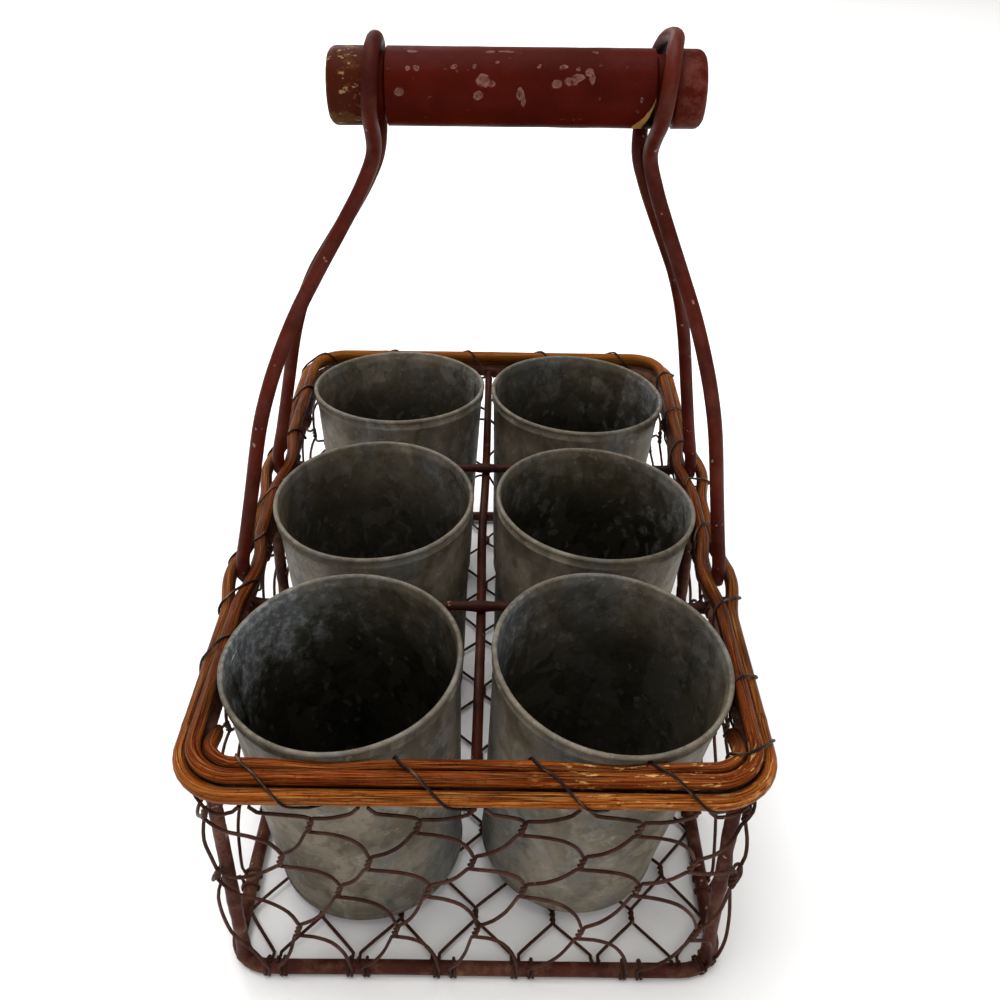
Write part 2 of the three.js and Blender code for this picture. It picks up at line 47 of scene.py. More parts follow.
WANDER_PACE, WANDER_RISE, WANDER_SEED = 0.02, 0.5, 7
SHARP_DEGREES = 50


def tint(code):
    """A colour from its usual six-figure code, as the shaders read it."""
    parts = [int(code[i:i + 2], 16) / 255 for i in (0, 2, 4)]
    return tuple(p / 12.92 if p <= 0.04045 else ((p + 0.055) / 1.055) ** 2.4 for p in parts) + (1.0,)


class Finish:
    """A material while it is mixed. Most calls add a node to it and give what the node puts out."""

    def __init__(self, name):
        self.material = bpy.data.materials.new(name)
        self.material.use_nodes = True
        self.tree = self.material.node_tree

    def feed(self, socket, value):
        """Links a socket, or sets a constant or the colour of a six-figure code."""
        if isinstance(value, bpy.types.NodeSocket):
            self.tree.links.new(value, socket)
        else:
            socket.default_value = tint(value) if isinstance(value, str) else value

    def give(self, **inputs):
        """Feeds the shader itself."""
        for name, value in inputs.items():
            self.feed(self.tree.nodes["Principled BSDF"].inputs[name.replace("_", " ")], value)

    def add(self, kind, settings=None, **inputs):
        node = self.tree.nodes.new("ShaderNode" + kind)
        for name, value in (settings or {}).items():
            setattr(node, name, value)
        for name, value in inputs.items():
            self.feed(node.inputs[name.replace("_", " ")], value)
        return node

    def place(self):
        return self.add("TexCoord").outputs["Object"]

    def split(self, vector):
        return self.add("SeparateXYZ", Vector=vector).outputs

    def noted(self, name, output):
        """What an attribute of the mesh says."""
        return self.add("Attribute", {"attribute_name": name}).outputs[output]

    def cloud(self, place, scale, detail=4.0, roughness=0.55):
        """Soft noise between 0 and 1."""
        return self.add("TexNoise", Vector=place, Scale=scale, Detail=detail,
                        Roughness=roughness).outputs["Fac"]

    def spots(self, place, scale, detail, roughness, low, high):
        """Soft noise with its edges drawn together."""
        return self.fade(self.cloud(place, scale, detail, roughness), low, high)

    def fade(self, value, low, high):
        """0 below low, 1 above high and smooth between; low may be the larger one."""
        return self.add("MapRange", {"interpolation_type": "SMOOTHSTEP"}, Value=value, From_Min=low,
                        From_Max=high).outputs["Result"]

    def span(self, value, low, high):
        """A 0 to 1 value spread from low to high."""
        return self.add("MapRange", Value=value, To_Min=low, To_Max=high).outputs["Result"]

    def blend(self, share, first, second):
        """One colour laid over another by a share."""
        node = self.add("Mix", {"data_type": "RGBA"})
        for index, value in ((0, share), (6, first), (7, second)):
            self.feed(node.inputs[index], value)
        return node.outputs[2]

    def coats(self, under, *layers):
        """Colours laid one over another, each by a share of where it goes."""
        for where, share, colour in layers:
            under = self.blend(self.times(where, share), under, colour)
        return under

    def sum_up(self, kind, operation, *values):
        node = self.add(kind, {"operation": operation})
        for index, value in enumerate(values):
            self.feed(node.inputs[index], value)
        return node

    def calc(self, operation, first, second):
        return self.sum_up("Math", operation, first, second).outputs[0]

    def times(self, first, second):
        return self.calc("MULTIPLY", first, second)

    def plus(self, first, second):
        return self.calc("ADD", first, second)

    def minus(self, first, second):
        return self.calc("SUBTRACT", first, second)

    def stretched(self, place, scale):
        """Coordinates scaled along each axis."""
        return self.add("Mapping", Vector=place, Scale=scale).outputs["Vector"]

    def jostled(self, place, scale, detail, amount):
        """Coordinates pushed about by noise, so that what is drawn on them has ragged edges."""
        push = self.add("TexNoise", Vector=place, Scale=scale, Detail=detail).outputs["Color"]
        return self.sum_up("VectorMath", "MULTIPLY_ADD", push, (amount, amount, amount), place).outputs[0]

    def bump(self, height, distance, strength=1.0):
        return self.add("Bump", Height=height, Distance=distance, Strength=strength).outputs["Normal"]


def painted_steel(name, paint, worn, chip, chip_from, dust, dust_share):
    """Semi-gloss paint with a mottled tone, small pale chips and a film of dust."""
    mix = Finish(name)
    place = mix.place()
    patch = mix.spots(place, 45.0, 5.0, 0.6, 0.35, 0.68)
    chips = mix.spots(place, 230.0, 3.0, 0.5, chip_from, chip_from + 0.05)
    grit = mix.cloud(place, 900.0, 2.0)
    dusty = mix.spots(place, 85.0, 6.0, 0.7, 0.42, 0.72)
    colour = mix.coats(mix.blend(patch, paint, worn), (dusty, dust_share, dust))
    height = mix.minus(mix.times(grit, 0.3), chips)
    mix.give(Base_Color=mix.blend(chips, colour, chip),
             Roughness=mix.span(mix.calc("MAXIMUM", patch, chips), 0.36, 0.62),
             Normal=mix.bump(height, 0.00022), Specular_IOR_Level=0.07)
    return mix.material


def outline(half_x, half_y, corner):
    """A rounded rectangle, read as a place and its outward direction at a distance to the right from
    the middle of the front. Also gives its whole length."""
    flat_x, flat_y = half_x - corner, half_y - corner
    quarter = corner * math.pi / 2

    def at(distance):
        rest = (distance + flat_x) % length
        for turn in range(4):
            run, depth = (flat_x, flat_y) if turn % 2 == 0 else (flat_y, flat_x)
            spin = Matrix.Rotation(turn * math.pi / 2, 2)
            if rest < 2 * run:
                return spin @ Vector((rest - run, -depth - corner)), spin @ Vector((0, -1))
            rest -= 2 * run
            if rest < quarter:
                outward = Vector((math.sin(rest / corner), -math.cos(rest / corner)))
                return spin @ (Vector((run, -depth)) + outward * corner), spin @ outward
            rest -= quarter
        return at(0)

    length = 4 * (flat_x + flat_y + quarter)
    return at, length


def squares_along(route, closed):
    """A frame square to the route at each of its points, carried along without twist."""
    count = len(route)
    ahead = []
    for i in range(count):
        after = route[(i + 1) % count] if closed or i + 1 < count else route[i]
        before = route[i - 1] if closed or i > 0 else route[i]
        ahead.append((after - before).normalized())
    side = ahead[0].orthogonal()
    squares = []
    for place, forward in zip(route, ahead):
        side = (side - forward * side.dot(forward)).normalized()
        square = Matrix((side, forward.cross(side), forward)).transposed().to_4x4()
        square.translation = place
        squares.append(square)
    return squares


def draw_rod(route, radius, sides, closed=False, swell=None):
    """Draws a round section along a route by extruding a circle from point to point. Each vertex keeps
    its place in the section and its distance along the rod as the attribute lay."""
    bm = bmesh.new()
    lay = bm.verts.layers.float_vector.new("lay")
    ring = bmesh.ops.create_circle(bm, segments=sides, radius=1.0)["verts"]
    first = edges = list(bm.edges)
    last = Matrix()
    along = 0.0
    for i, square in enumerate(squares_along(route, closed)):
        if i > 0:
            grown = bmesh.ops.extrude_edge_only(bm, edges=edges)["geom"]
            ring = [g for g in grown if isinstance(g, bmesh.types.BMVert)]
            edges = [g for g in grown if isinstance(g, bmesh.types.BMEdge) and g.is_boundary]
            along += (route[i] - route[i - 1]).length
        here = square @ Matrix.Scale(radius * (swell(along) if swell else 1.0), 4)
        bmesh.ops.transform(bm, matrix=here @ last.inverted(), verts=ring)
        back = square.inverted()
        for vert in ring:
            local = back @ vert.co
            vert[lay] = (local.x, local.y, along)
        last = here
    if closed:
        bmesh.ops.bridge_loops(bm, edges=first + edges)
    else:
        bmesh.ops.edgeloop_fill(bm, edges=first)
        bmesh.ops.edgeloop_fill(bm, edges=edges)
    return bm


def as_mesh(name, bm):
    """Turns what was drawn into a mesh."""
    mesh = bpy.data.meshes.new(name)
    bm.to_mesh(mesh)
    bm.free()
    return mesh


def set_out(name, data):
    """Puts an object made of a mesh, a light or a camera in the scene."""
    made = bpy.data.objects.new(name, data)
    bpy.context.scene.collection.objects.link(made)
    return made


def finish_piece(name, bm, material, body, slot, *nodes):
    """Makes a drawn piece an object in metres that rides on a body in place of its solids."""
    bmesh.ops.recalc_face_normals(bm, faces=bm.faces)
    bmesh.ops.scale(bm, vec=Vector((MM, MM, MM)), verts=bm.verts)
    mesh = as_mesh(name, bm)
    mesh.shade_smooth()
    mesh.set_sharp_from_angle(angle=math.radians(SHARP_DEGREES))
    mesh.materials.append(material)
    piece = set_out(name, mesh)
    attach(piece, body)
    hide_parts(*nodes)


def hoop_route(at, length, height, wander):
    """A closed route round an outline, starting at the back and wandering a little as bent rod does."""
    count = round(length / RING_STEP)
    route = []
    for i in range(count):
        place, outward = at(length * (i / count - 0.5))
        drift = noise.noise_vector(Vector((place.x, place.y, height)) * WANDER_PACE) * wander
        place = place + outward * drift.x
        route.append(Vector((place.x, place.y, height + drift.z * WANDER_RISE)))
    return route


frame_paint = painted_steel("frame paint", "472019", "331610", "8d7264", 0.68, "74543f", 0.75)
noise.seed_set(WANDER_SEED)
base_at, base_length = outline(BASE_HALF_X, BASE_HALF_Y, BASE_CORNER)
base_route = hoop_route(base_at, base_length, BASE_Z, BASE_WANDER)
finish_piece("base_rod", draw_rod(base_route, BASE_ROD / 2, RING_SIDES, True), frame_paint, "frame",
             "painted_steel", "base_ring")

# Top ring: painted steel rod under the rim canes, a little larger than the base, so the sides flare.
# Only its underside and inner face show between the canes and the netting.
TOP_HALF_X, TOP_HALF_Y, TOP_CORNER = 83.0, 134.0, 14.0
TOP_ROD, TOP_Z, TOP_WANDER = 5.5, 89.6, 0.2
top_at, top_length = outline(TOP_HALF_X, TOP_HALF_Y, TOP_CORNER)
top_route = hoop_route(top_at, top_length, TOP_Z, TOP_WANDER)
finish_piece("top_rod", draw_rod(top_route, TOP_ROD / 2, RING_SIDES, True), frame_paint, "frame",
             "painted_steel", "top_ring")

# Posts: short rods welded upright between the two rings, at the corners and halfway along the sides.
# A lumpy bead of weld swells both ends, and a drip of paint makes a small knot on the way up.
POST_ROD, POST_CORNER_X, POST_CORNER_Y = 4.5, 77.5, 128.5
POST_LOW, POST_HIGH, POST_STEPS, POST_SIDES = 4.0, 88.5, 56, 14
WELD_SWELL, WELD_REACH, LUMP_SWELL, LUMP_PACE = 0.34, 3.5, 0.1, 0.22
DRIP_SWELL, DRIP_REACH, DRIP_LOW, DRIP_RANGE = 0.16, 2.0, 0.35, 0.3
POSTS = (("front_left", -POST_CORNER_X, -POST_CORNER_Y), ("front_right", POST_CORNER_X, -POST_CORNER_Y),
         ("middle_left", -BASE_HALF_X, 0.0), ("middle_right", BASE_HALF_X, 0.0),
         ("rear_left", -POST_CORNER_X, POST_CORNER_Y), ("rear_right", POST_CORNER_X, POST_CORNER_Y))


def hump(away, reach):
    """1 in its middle, falling off smoothly within a reach to both sides."""
    return math.exp(-(away / reach) ** 2)


def weld_swell(seed):
    """Swells a post at its ends and at a drip."""
    run = POST_HIGH - POST_LOW
    drip = run * (DRIP_LOW + DRIP_RANGE * (seed % 1.0))

    def swell(along):
        ends = hump(along, WELD_REACH) + hump(run - along, WELD_REACH)
        lumps = noise.noise(Vector((seed, along * LUMP_PACE, 0.0)))
        return 1.0 + WELD_SWELL * ends + LUMP_SWELL * lumps + DRIP_SWELL * hump(along - drip, DRIP_REACH)
    return swell


for number, (name, x, y) in enumerate(POSTS):
    rise = (POST_HIGH - POST_LOW) / POST_STEPS
    route = [Vector((x, y, POST_LOW + rise * i)) for i in range(POST_STEPS + 1)]
    post = draw_rod(route, POST_ROD / 2, POST_SIDES, swell=weld_swell(number * 1.37))
    finish_piece("post_rod_" + name, post, frame_paint, "frame", "painted_steel", "post_" + name)

# Dividers: thin rod that parts the caddy into six cells. One runs from front to rear and turns up to
# the top ring, and two lie across it, welded where they cross. Their paint has worn to rusty red, and
# it is made darker than the frame's as painted shade where they lie between the pots.
DIVIDER_ROD, DIVIDER_CROSS_Y, DIVIDER_CROSS_Z, DIVIDER_LONG_Z = 3.5, 46.0, 88.4, 84.6
DIVIDER_END_X, DIVIDER_END_Y, DIVIDER_RISE = 80.6, 131.4, 20.0
DIVIDER_STEP, DIVIDER_SIDES, CROSS_STEPS = 3.0, 12, 80
CROSS_WELD, CROSS_WELD_REACH, CROSS_WAVE = 0.35, 2.6, 0.3
# Darker than the frame paint: worn rusty red, with painted shade for where the rods lie between the pots
divider_paint_and_shade = painted_steel("divider paint", "33130a", "1c0a04", "6b4636", 0.67, "452517", 0.5)


def smooth_run(points, spacing):
    """A soft curve through points, with steps of about one spacing."""
    run = []
    count = len(points)
    for i in range(count - 1):
        a, b, c, d = (points[max(i - 1, 0)], points[i], points[i + 1], points[min(i + 2, count - 1)])
        steps = max(1, round((c - b).length / spacing))
        for step in range(steps):
            t = step / steps
            run.append(0.5 * (2 * b + (c - a) * t + (2 * a - 5 * b + 4 * c - d) * t * t
                              + (3 * b - 3 * c + d - a) * t ** 3))
    run.append(points[-1].copy())
    return run


half_rise = (DIVIDER_LONG_Z + TOP_Z) / 2
front_half = [Vector((0, -DIVIDER_END_Y, TOP_Z)), Vector((0, -DIVIDER_END_Y + 4, TOP_Z - 0.2)),
              Vector((0.2, -DIVIDER_END_Y + DIVIDER_RISE / 2, half_rise)),
              Vector((0.3, -DIVIDER_END_Y + DIVIDER_RISE, DIVIDER_LONG_Z)),
              Vector((0.3, -DIVIDER_CROSS_Y, DIVIDER_LONG_Z)), Vector((-0.3, 0, DIVIDER_LONG_Z - 0.3))]
rear_half = [Vector((0.4, -p.y, p.z)) for p in reversed(front_half[:-1])]
long_route = smooth_run(front_half + rear_half, DIVIDER_STEP)
finish_piece("divider_rod_long", draw_rod(long_route, DIVIDER_ROD / 2, DIVIDER_SIDES), divider_paint_and_shade, "frame",
             "painted_steel", "divider_long")


def cross_swell(along):
    """A weld where the rods cross and at each end."""
    return 1.0 + sum(CROSS_WELD * hump(along - at, CROSS_WELD_REACH)
                     for at in (0.0, DIVIDER_END_X, 2 * DIVIDER_END_X))


for name, y in (("front", -DIVIDER_CROSS_Y), ("rear", DIVIDER_CROSS_Y)):
    route = [Vector((DIVIDER_END_X * (2 * i / CROSS_STEPS - 1), y + CROSS_WAVE * math.sin(i / 9),
                     DIVIDER_CROSS_Z)) for i in range(CROSS_STEPS + 1)]
    finish_piece("divider_rod_" + name, draw_rod(route, DIVIDER_ROD / 2, DIVIDER_SIDES, swell=cross_swell),
                 divider_paint_and_shade, "frame", "painted_steel", "divider_" + name)

# Side netting: machine-made hexagonal wire netting in one band round the frame, dipped in brown
# paint. Each wire runs slantwise from the top ring to the base ring, twisting one and a half turns
# round every wire it meets, and hooks round both rings.
NET_WIRE, NET_SIDES, NET_STEP = 1.2, 6, 2.2
NET_COLUMNS = 26
NET_ROWS = (79.0, 63.5, 49.5, 29.0)
NET_TWIST, NET_TWIST_LEAN, NET_TWIST_RADIUS, NET_TWIST_POINTS = 6.0, 1.7, 0.56, 10
NET_TOP_HOOK, NET_TOP_APART, NET_TOP_LEAN = (140, 180, 225, 270, 310), 1.5, 2.0
NET_TOP_Z, NET_TOP_OUT, NET_BULGE, NET_CORNER_OUT = 84.5, 0.3, 0.5, 0.6
NET_RAIL_APART, NET_RAIL_Z, NET_RAIL_OUT, NET_LOWEST = 1.9, 8.0, -0.2, NET_WIRE * 0.52
# How far a twist stands out, and how far it drifts along, up and out
NET_OUT, NET_DRIFT_ALONG, NET_DRIFT_UP, NET_DRIFT_OUT = 0.5, 4.0, 2.0, 0.9
NET_RAIL_HOOK, NET_RAIL_PITCH = range(35, -410, -37), 0.13
# How a wire sags to the right or left on its way to the next twist: shares of the way across and down
NET_SAGS = {1: ((0.3, 0.02), (0.66, 0.2), (0.9, 0.58)), -1: ((0.3, 0.46), (0.66, 0.8))}
NET_HALF_X, NET_HALF_Y, NET_CORNER = 84.6, 135.6, 16.6
net_at, net_length = outline(NET_HALF_X, NET_HALF_Y, NET_CORNER)
HALF_COLUMN = net_length / NET_COLUMNS / 2
# Where the twists on the front stand, to the right of its middle, by row and half column
FRONT_TWISTS = {
    (0, -3): -48.0, (0, -1): -16.4, (0, 1): 14.3, (0, 3): 48.5,
    (1, -4): -58.2, (1, -2): -31.9, (1, 0): -0.6, (1, 2): 32.4, (1, 4): 65.7,
    (2, -3): -41.7, (2, -1): -14.3, (2, 1): 15.0, (2, 3): 50.0,
    (3, -4): -56.0, (3, -2): -25.0, (3, 0): 0.5, (3, 2): 33.5, (3, 4): 70.0,
    (4, -5): -66.5, (4, -3): -38.9, (4, -1): -10.0, (4, 1): 15.9, (4, 3): 52.0,
}

net_paint = painted_steel("net paint", "3f241c", "2a140c", "75594c", 0.71, "5e4437", 0.5)


def add_to(bundle, bm):
    """Moves one drawn rod into a bundle of many."""
    part = as_mesh("part", bm)
    bundle.from_mesh(part)
    bpy.data.meshes.remove(part)


def net_twist(row, column):
    """Where a twist sits: distance round the band, height and how far it stands out."""
    here = (column + NET_COLUMNS) % (2 * NET_COLUMNS) - NET_COLUMNS
    drift = noise.noise_vector(Vector((here * 3.7, row * 5.3, 1.5)))
    distance = FRONT_TWISTS.get((row, here), here * HALF_COLUMN + NET_DRIFT_ALONG * drift.x)
    height = (NET_ROWS[row] if 0 <= row < len(NET_ROWS) else 0.0) + NET_DRIFT_UP * drift.y
    return distance + (column - here) * HALF_COLUMN, height, NET_OUT + NET_DRIFT_OUT * drift.z


def net_point(distance, height, out):
    place, outward = net_at(distance)
    corner = min(abs(outward.x), abs(outward.y))
    place = place + outward * (out + NET_CORNER_OUT * corner)
    return Vector((place.x, place.y, height))


def hook(distance, out, height, radius, degrees):
    """Part of a turn of wire round a ring; 0 degrees is outward and 90 is up."""
    place, outward = net_at(distance)
    hooked = []
    for angle in map(math.radians, degrees):
        spot = place + outward * (out + radius * math.cos(angle))
        hooked.append(Vector((spot.x, spot.y, max(height + radius * math.sin(angle), NET_LOWEST))))
    return hooked


def twist_turns(step):
    """One and a half turns of a wire in a twist: share of its length, offset aside and offset out."""
    for i in range(NET_TWIST_POINTS + 1):
        share = i / NET_TWIST_POINTS
        angle = (0 if step < 0 else math.pi) + 3 * math.pi * share
        yield share, NET_TWIST_RADIUS * math.cos(angle), NET_TWIST_RADIUS * math.sin(angle)


def net_wire(column, step):
    """The route of one wire that starts at a column of the top ring and goes one half column to the
    right or left from each row to the next."""
    start = net_twist(-1, column)[0] + step * NET_TOP_APART
    points = hook(start, TOP_HALF_X - NET_HALF_X, TOP_Z, TOP_ROD / 2 + NET_WIRE / 2, NET_TOP_HOOK)
    end = (start + step * NET_TOP_LEAN, NET_TOP_Z, NET_TOP_OUT)
    points.append(net_point(*end))
    last_row = len(NET_ROWS)
    for row in range(last_row + 1):
        column += step
        distance, height, out = net_twist(row, column)
        rail = row == last_row
        if rail:
            top = (distance - step * NET_RAIL_APART, NET_RAIL_Z, NET_RAIL_OUT)
        else:
            top = (distance + NET_TWIST_LEAN / 2 - step * NET_TWIST_RADIUS, height + NET_TWIST / 2, out)
        for across, drop in NET_SAGS[step]:
            bulge = NET_BULGE * math.sin(math.pi * across)
            points.append(net_point(end[0] + (top[0] - end[0]) * across, end[1] + (top[1] - end[1]) * drop,
                                    end[2] + (top[2] - end[2]) * across + bulge))
        if rail:
            points.append(net_point(*top))
            for turn, degrees in enumerate(NET_RAIL_HOOK):
                points += hook(top[0] - step * NET_RAIL_PITCH * turn, BASE_HALF_X - NET_HALF_X, BASE_Z,
                               BASE_ROD / 2 + NET_WIRE * 0.4, (degrees,))
            return points
        for share, aside, outward in twist_turns(step):
            end = (distance + NET_TWIST_LEAN * (0.5 - share) + aside, height + NET_TWIST * (0.5 - share),
                   out + outward)
            points.append(net_point(*end))


band = bmesh.new()
for column in range(0, 2 * NET_COLUMNS, 2):
    for step in (-1, 1):
        add_to(band, draw_rod(smooth_run(net_wire(column, step), NET_STEP), NET_WIRE / 2, NET_SIDES))
finish_piece("side_netting", band, net_paint, "frame", "netting", "net_front", "net_right", "net_rear",
             "net_left")

# Floor netting: a flat piece of the same netting that the pots stand on. Its wires run from the front
# of the base ring to the rear and turn back at the long sides, hooked round the rod all the way.
FLOOR_Z, FLOOR_STEP = 2.35, 2.6
FLOOR_HALF_COLUMN, FLOOR_ROWS, FLOOR_EDGE = 13.4, 13, 6
FLOOR_DRIFT_X, FLOOR_DRIFT_Y = 2.5, 2.0
FLOOR_APART, FLOOR_TURN, FLOOR_END_STEP = 1.2, 2.0, 8.0
FLOOR_Y = BASE_HALF_Y - BASE_ROD / 2
# Over the front or rear rail and down inside it: distance from the middle and height
FLOOR_HOOK = ((BASE_HALF_Y + 0.6, BASE_Z + 2.6), (BASE_HALF_Y - 1.6, BASE_Z + 2.3),
              (FLOOR_Y - 0.7, FLOOR_Z + 0.4), (FLOOR_Y - 3.0, FLOOR_Z))


def floor_twist(row, column):
    drift = noise.noise_vector(Vector((column * 2.9, row * 4.1, 7.5)))
    y = -FLOOR_Y + 2 * FLOOR_Y * (row + 1) / (FLOOR_ROWS + 1)
    return column * FLOOR_HALF_COLUMN + FLOOR_DRIFT_X * drift.x, y + FLOOR_DRIFT_Y * drift.y


def floor_wire(column, step):
    """One wire of the floor, from the front rail to the rear one."""
    x = column * FLOOR_HALF_COLUMN + step * FLOOR_APART
    points = [Vector((x, -y, z)) for y, z in FLOOR_HOOK]
    for row in range(FLOOR_ROWS):
        column += step
        if abs(column) >= FLOOR_EDGE:
            y = floor_twist(row, column)[1]
            edge = math.copysign(BASE_HALF_X - BASE_ROD / 2 - NET_WIRE / 2, column)
            points += [Vector((edge, y + turn, FLOOR_Z)) for turn in (-FLOOR_TURN, FLOOR_TURN)]
            step = -step
            continue
        x, y = floor_twist(row, column)
        for share, aside, rise in twist_turns(step):
            points.append(Vector((x + aside, y + NET_TWIST * (share - 0.5), FLOOR_Z + rise)))
    x = points[-1].x + step * FLOOR_END_STEP
    return points + [Vector((x, y, z)) for y, z in reversed(FLOOR_HOOK)]


floor_net = bmesh.new()
for column in range(1 - FLOOR_EDGE, FLOOR_EDGE, 2):
    for step in (-1, 1):
        add_to(floor_net, draw_rod(smooth_run(floor_wire(column, step), FLOOR_STEP), NET_WIRE / 2, NET_SIDES))
finish_piece("floor_netting", floor_net, net_paint, "frame", "netting", "net_floor")

# Rim canes: two hoops of rattan steamed round the rim, one above the other, which part round the
# feet of the handle, and a third along the front. Honey-brown varnish, dark in the pores, painted shade
# where the canes lie together, painted highlights in pale streaks, and flaked off along the front.
CANE, CANE_STEP, CANE_SIDES = 4.8, 2.5, 24
OUTER_OUT, OUTER_UP, OUTER_BOW, OUTER_SAG = 4.1, 4.1, 3.25, 0.8
INNER_OUT, INNER_UP, INNER_BOW = -0.1, 7.4, -2.85
FRONT_OUT, FRONT_UP, FRONT_END, FRONT_STEPS = -4.8, 7.3, 101.5, 100
FRONT_DUCK, FRONT_DUCK_REACH = Vector((0.45, -1.3)), 14.0
FRONT_DOWN_FROM, FRONT_DOWN_RUN, FRONT_DOWN = 80.0, 20.0, 4.0
CANE_LEAST, CANE_VARIES, CANE_DRIFT_OUT, CANE_DRIFT_UP = 0.985, 0.03, 0.3, 0.35
KNOT_APART, KNOT_REACH, KNOT_SWELL = 78, 1.3, 0.06
PARED_LENGTH, PARED_REACH, PARED_TIP, PARED_RISE = 2 * FRONT_END - 9, 5, 0.5, 0.46
# Painted shade on the sides of a cane that lie against its neighbours: its reach in degrees; and the steps
# over which a cane darkens towards its ends
CREASE_SHADE_DEGREES, DARK_END_STEPS = 26.0, 7
POT_X = 41.75
BOW_HALF = 24.0
LEG_Y = 36.0
LEG_MARK = TOP_HALF_X - TOP_CORNER + TOP_CORNER * math.pi / 2 + TOP_HALF_Y - TOP_CORNER


def bow_at(distance):
    """1 beside a foot of the handle and 0 away from it."""
    away = abs(abs((distance + top_length / 2) % top_length - top_length / 2) - LEG_MARK)
    near = min(1.0, abs(away - LEG_Y) / BOW_HALF)
    return math.cos(math.pi / 2 * near) ** 2


def beside_top(distance, out, up):
    place, outward = top_at(distance)
    place = place + outward * out
    return Vector((place.x, place.y, TOP_Z + up))


def cane_swell(seed):
    """Slow changes of thickness, and a low ridge at each knot of the cane."""
    def swell(along):
        slow = noise.noise(Vector((seed, along * 0.02, 0.0)))
        knot = abs((along + 31 * seed + 9 * math.sin(along / 90 + seed)) % KNOT_APART - KNOT_APART / 2)
        return CANE_LEAST + CANE_VARIES * slow + KNOT_SWELL * hump(knot, KNOT_REACH)
    return swell


def rattan(name, pale, body, dark, painted_gleam, flaking):
    """Fine grain along the cane, pale streaks of painted highlight, dark pores, grit, darker ends, painted
    shade where it lies against its neighbours, and flakes down to pale fibre in front.
    """
    mix = Finish(name)
    lay = mix.noted("lay", "Vector")
    place = mix.place()
    grain = mix.cloud(mix.stretched(lay, (2.6, 2.6, 0.02)), 1.0, 6.0, 0.75)
    fibre = mix.cloud(mix.stretched(lay, (7.0, 7.0, 0.06)), 1.0, 3.0, 0.65)
    tone = mix.cloud(mix.stretched(lay, (0.3, 0.3, 0.025)), 1.0, 4.0, 0.65)
    pores = mix.fade(fibre, 0.53, 0.66)
    grit = mix.spots(place, 700.0, 3.0, 0.7, 0.55, 0.7)
    # Dark at the ends of a cane, and painted shade where it lies against its neighbours
    dark_ends_and_crease_shade = mix.noted("dark_ends_and_crease_shade", "Fac")
    x, y = mix.split(place)[:2]
    sides = mix.times(mix.fade(y, -0.13, -0.1), mix.fade(y, 0.13, 0.1))
    # Pale streaks along the fibres are a painted highlight laid over the grain
    colour = mix.coats(mix.blend(mix.fade(grain, 0.38, 0.62), body, pale),
                       (mix.fade(tone, 0.46, 0.64), 0.8, body), (mix.fade(fibre, 0.52, 0.3), 0.6, painted_gleam),
                       (pores, 0.7, dark), (grit, 0.45, dark), (dark_ends_and_crease_shade, 0.92, dark), (sides, 0.4, dark),
                       (mix.fade(y, 0.1, 0.13), 0.4, "8a5314"))
    flakes = mix.spots(mix.stretched(lay, (0.8, 0.8, 0.2)), 1.0, 5.0, 0.65, 0.58, 0.62)
    where = mix.times(mix.fade(x, 0.015, 0.035), mix.fade(y, -0.115, -0.125))
    flakes = mix.times(flakes, mix.times(where, flaking))
    height = mix.plus(mix.times(fibre, 0.6), mix.times(grain, 0.6))
    height = mix.minus(height, mix.plus(flakes, pores))
    mix.give(Base_Color=mix.blend(flakes, colour, "cc9a60"), Roughness=mix.span(fibre, 0.25, 0.5),
             Normal=mix.bump(height, 0.00016), Specular_IOR_Level=0.04)
    return mix.material


outer_rattan = rattan("outer rattan", "9a4709", "421602", "150501", "cf9a50", 0.45)
inner_rattan = rattan("inner rattan", "7c2d03", "3a0e01", "110400", "b27a38", 0.85)


def outer_up(distance):
    """The outer cane lies lower towards the back, against the ring."""
    return OUTER_UP - OUTER_SAG * math.sin(math.pi * distance / top_length) ** 2


def cane_places(out, up, bow, seed):
    """Distances round the rim from the back, each with how far out and up a cane lies there."""
    count = round(top_length / CANE_STEP)
    places = []
    for i in range(count):
        distance = top_length * (i / count - 0.5)
        drift = noise.noise_vector(Vector((seed * 3.1, distance * 0.013, 0.7)))
        places.append((distance, out + bow * bow_at(distance) + CANE_DRIFT_OUT * drift.x,
                       up(distance) + CANE_DRIFT_UP * drift.y))
    return places


def front_place(distance):
    """The front cane lies behind the inner one, ducks under the rims of the two front pots and goes
    down at its ends."""
    down = min(1.0, max(0.0, (abs(distance) - FRONT_DOWN_FROM) / FRONT_DOWN_RUN))
    duck = max(hump(abs(distance) - POT_X, FRONT_DUCK_REACH), down)
    return Vector((FRONT_OUT, FRONT_UP - FRONT_DOWN * down ** 2)) + FRONT_DUCK * duck


def draw_cane(places, closed, swell, neighbours):
    """A cane darkened, as an attribute, at its ends and with painted shade on the sides that lie against
    its neighbours. These are given as degrees, with 0 outward and 90 up."""
    bm = draw_rod([beside_top(*place) for place in places], CANE / 2, CANE_SIDES, closed, swell)
    dark_ends_and_crease_shade = bm.verts.layers.float.new("dark_ends_and_crease_shade")
    bm.verts.ensure_lookup_table()
    for number, vert in enumerate(bm.verts):
        step = number // CANE_SIDES
        distance, out, up = places[step]
        away = vert.co - beside_top(distance, out, up)
        facing = math.degrees(math.atan2(away.z, away.xy.dot(top_at(distance)[1])))
        end = len(places) if closed else min(step, len(places) - 1 - step)
        turns = [(facing - n + 180) % 360 - 180 for n in neighbours]
        # Darker towards the ends, and painted shade on the sides facing the neighbouring canes
        vert[dark_ends_and_crease_shade] = max(1.0 - end / DARK_END_STEPS, *(hump(t, CREASE_SHADE_DEGREES) for t in turns))
    return bm


def trimmed(along):
    """The front cane is pared down a little at both ends."""
    end = min(along, PARED_LENGTH - along)
    return cane_swell(3.0)(along) * (PARED_TIP + PARED_RISE * min(1.0, max(0.0, end / PARED_REACH)) ** 0.5)


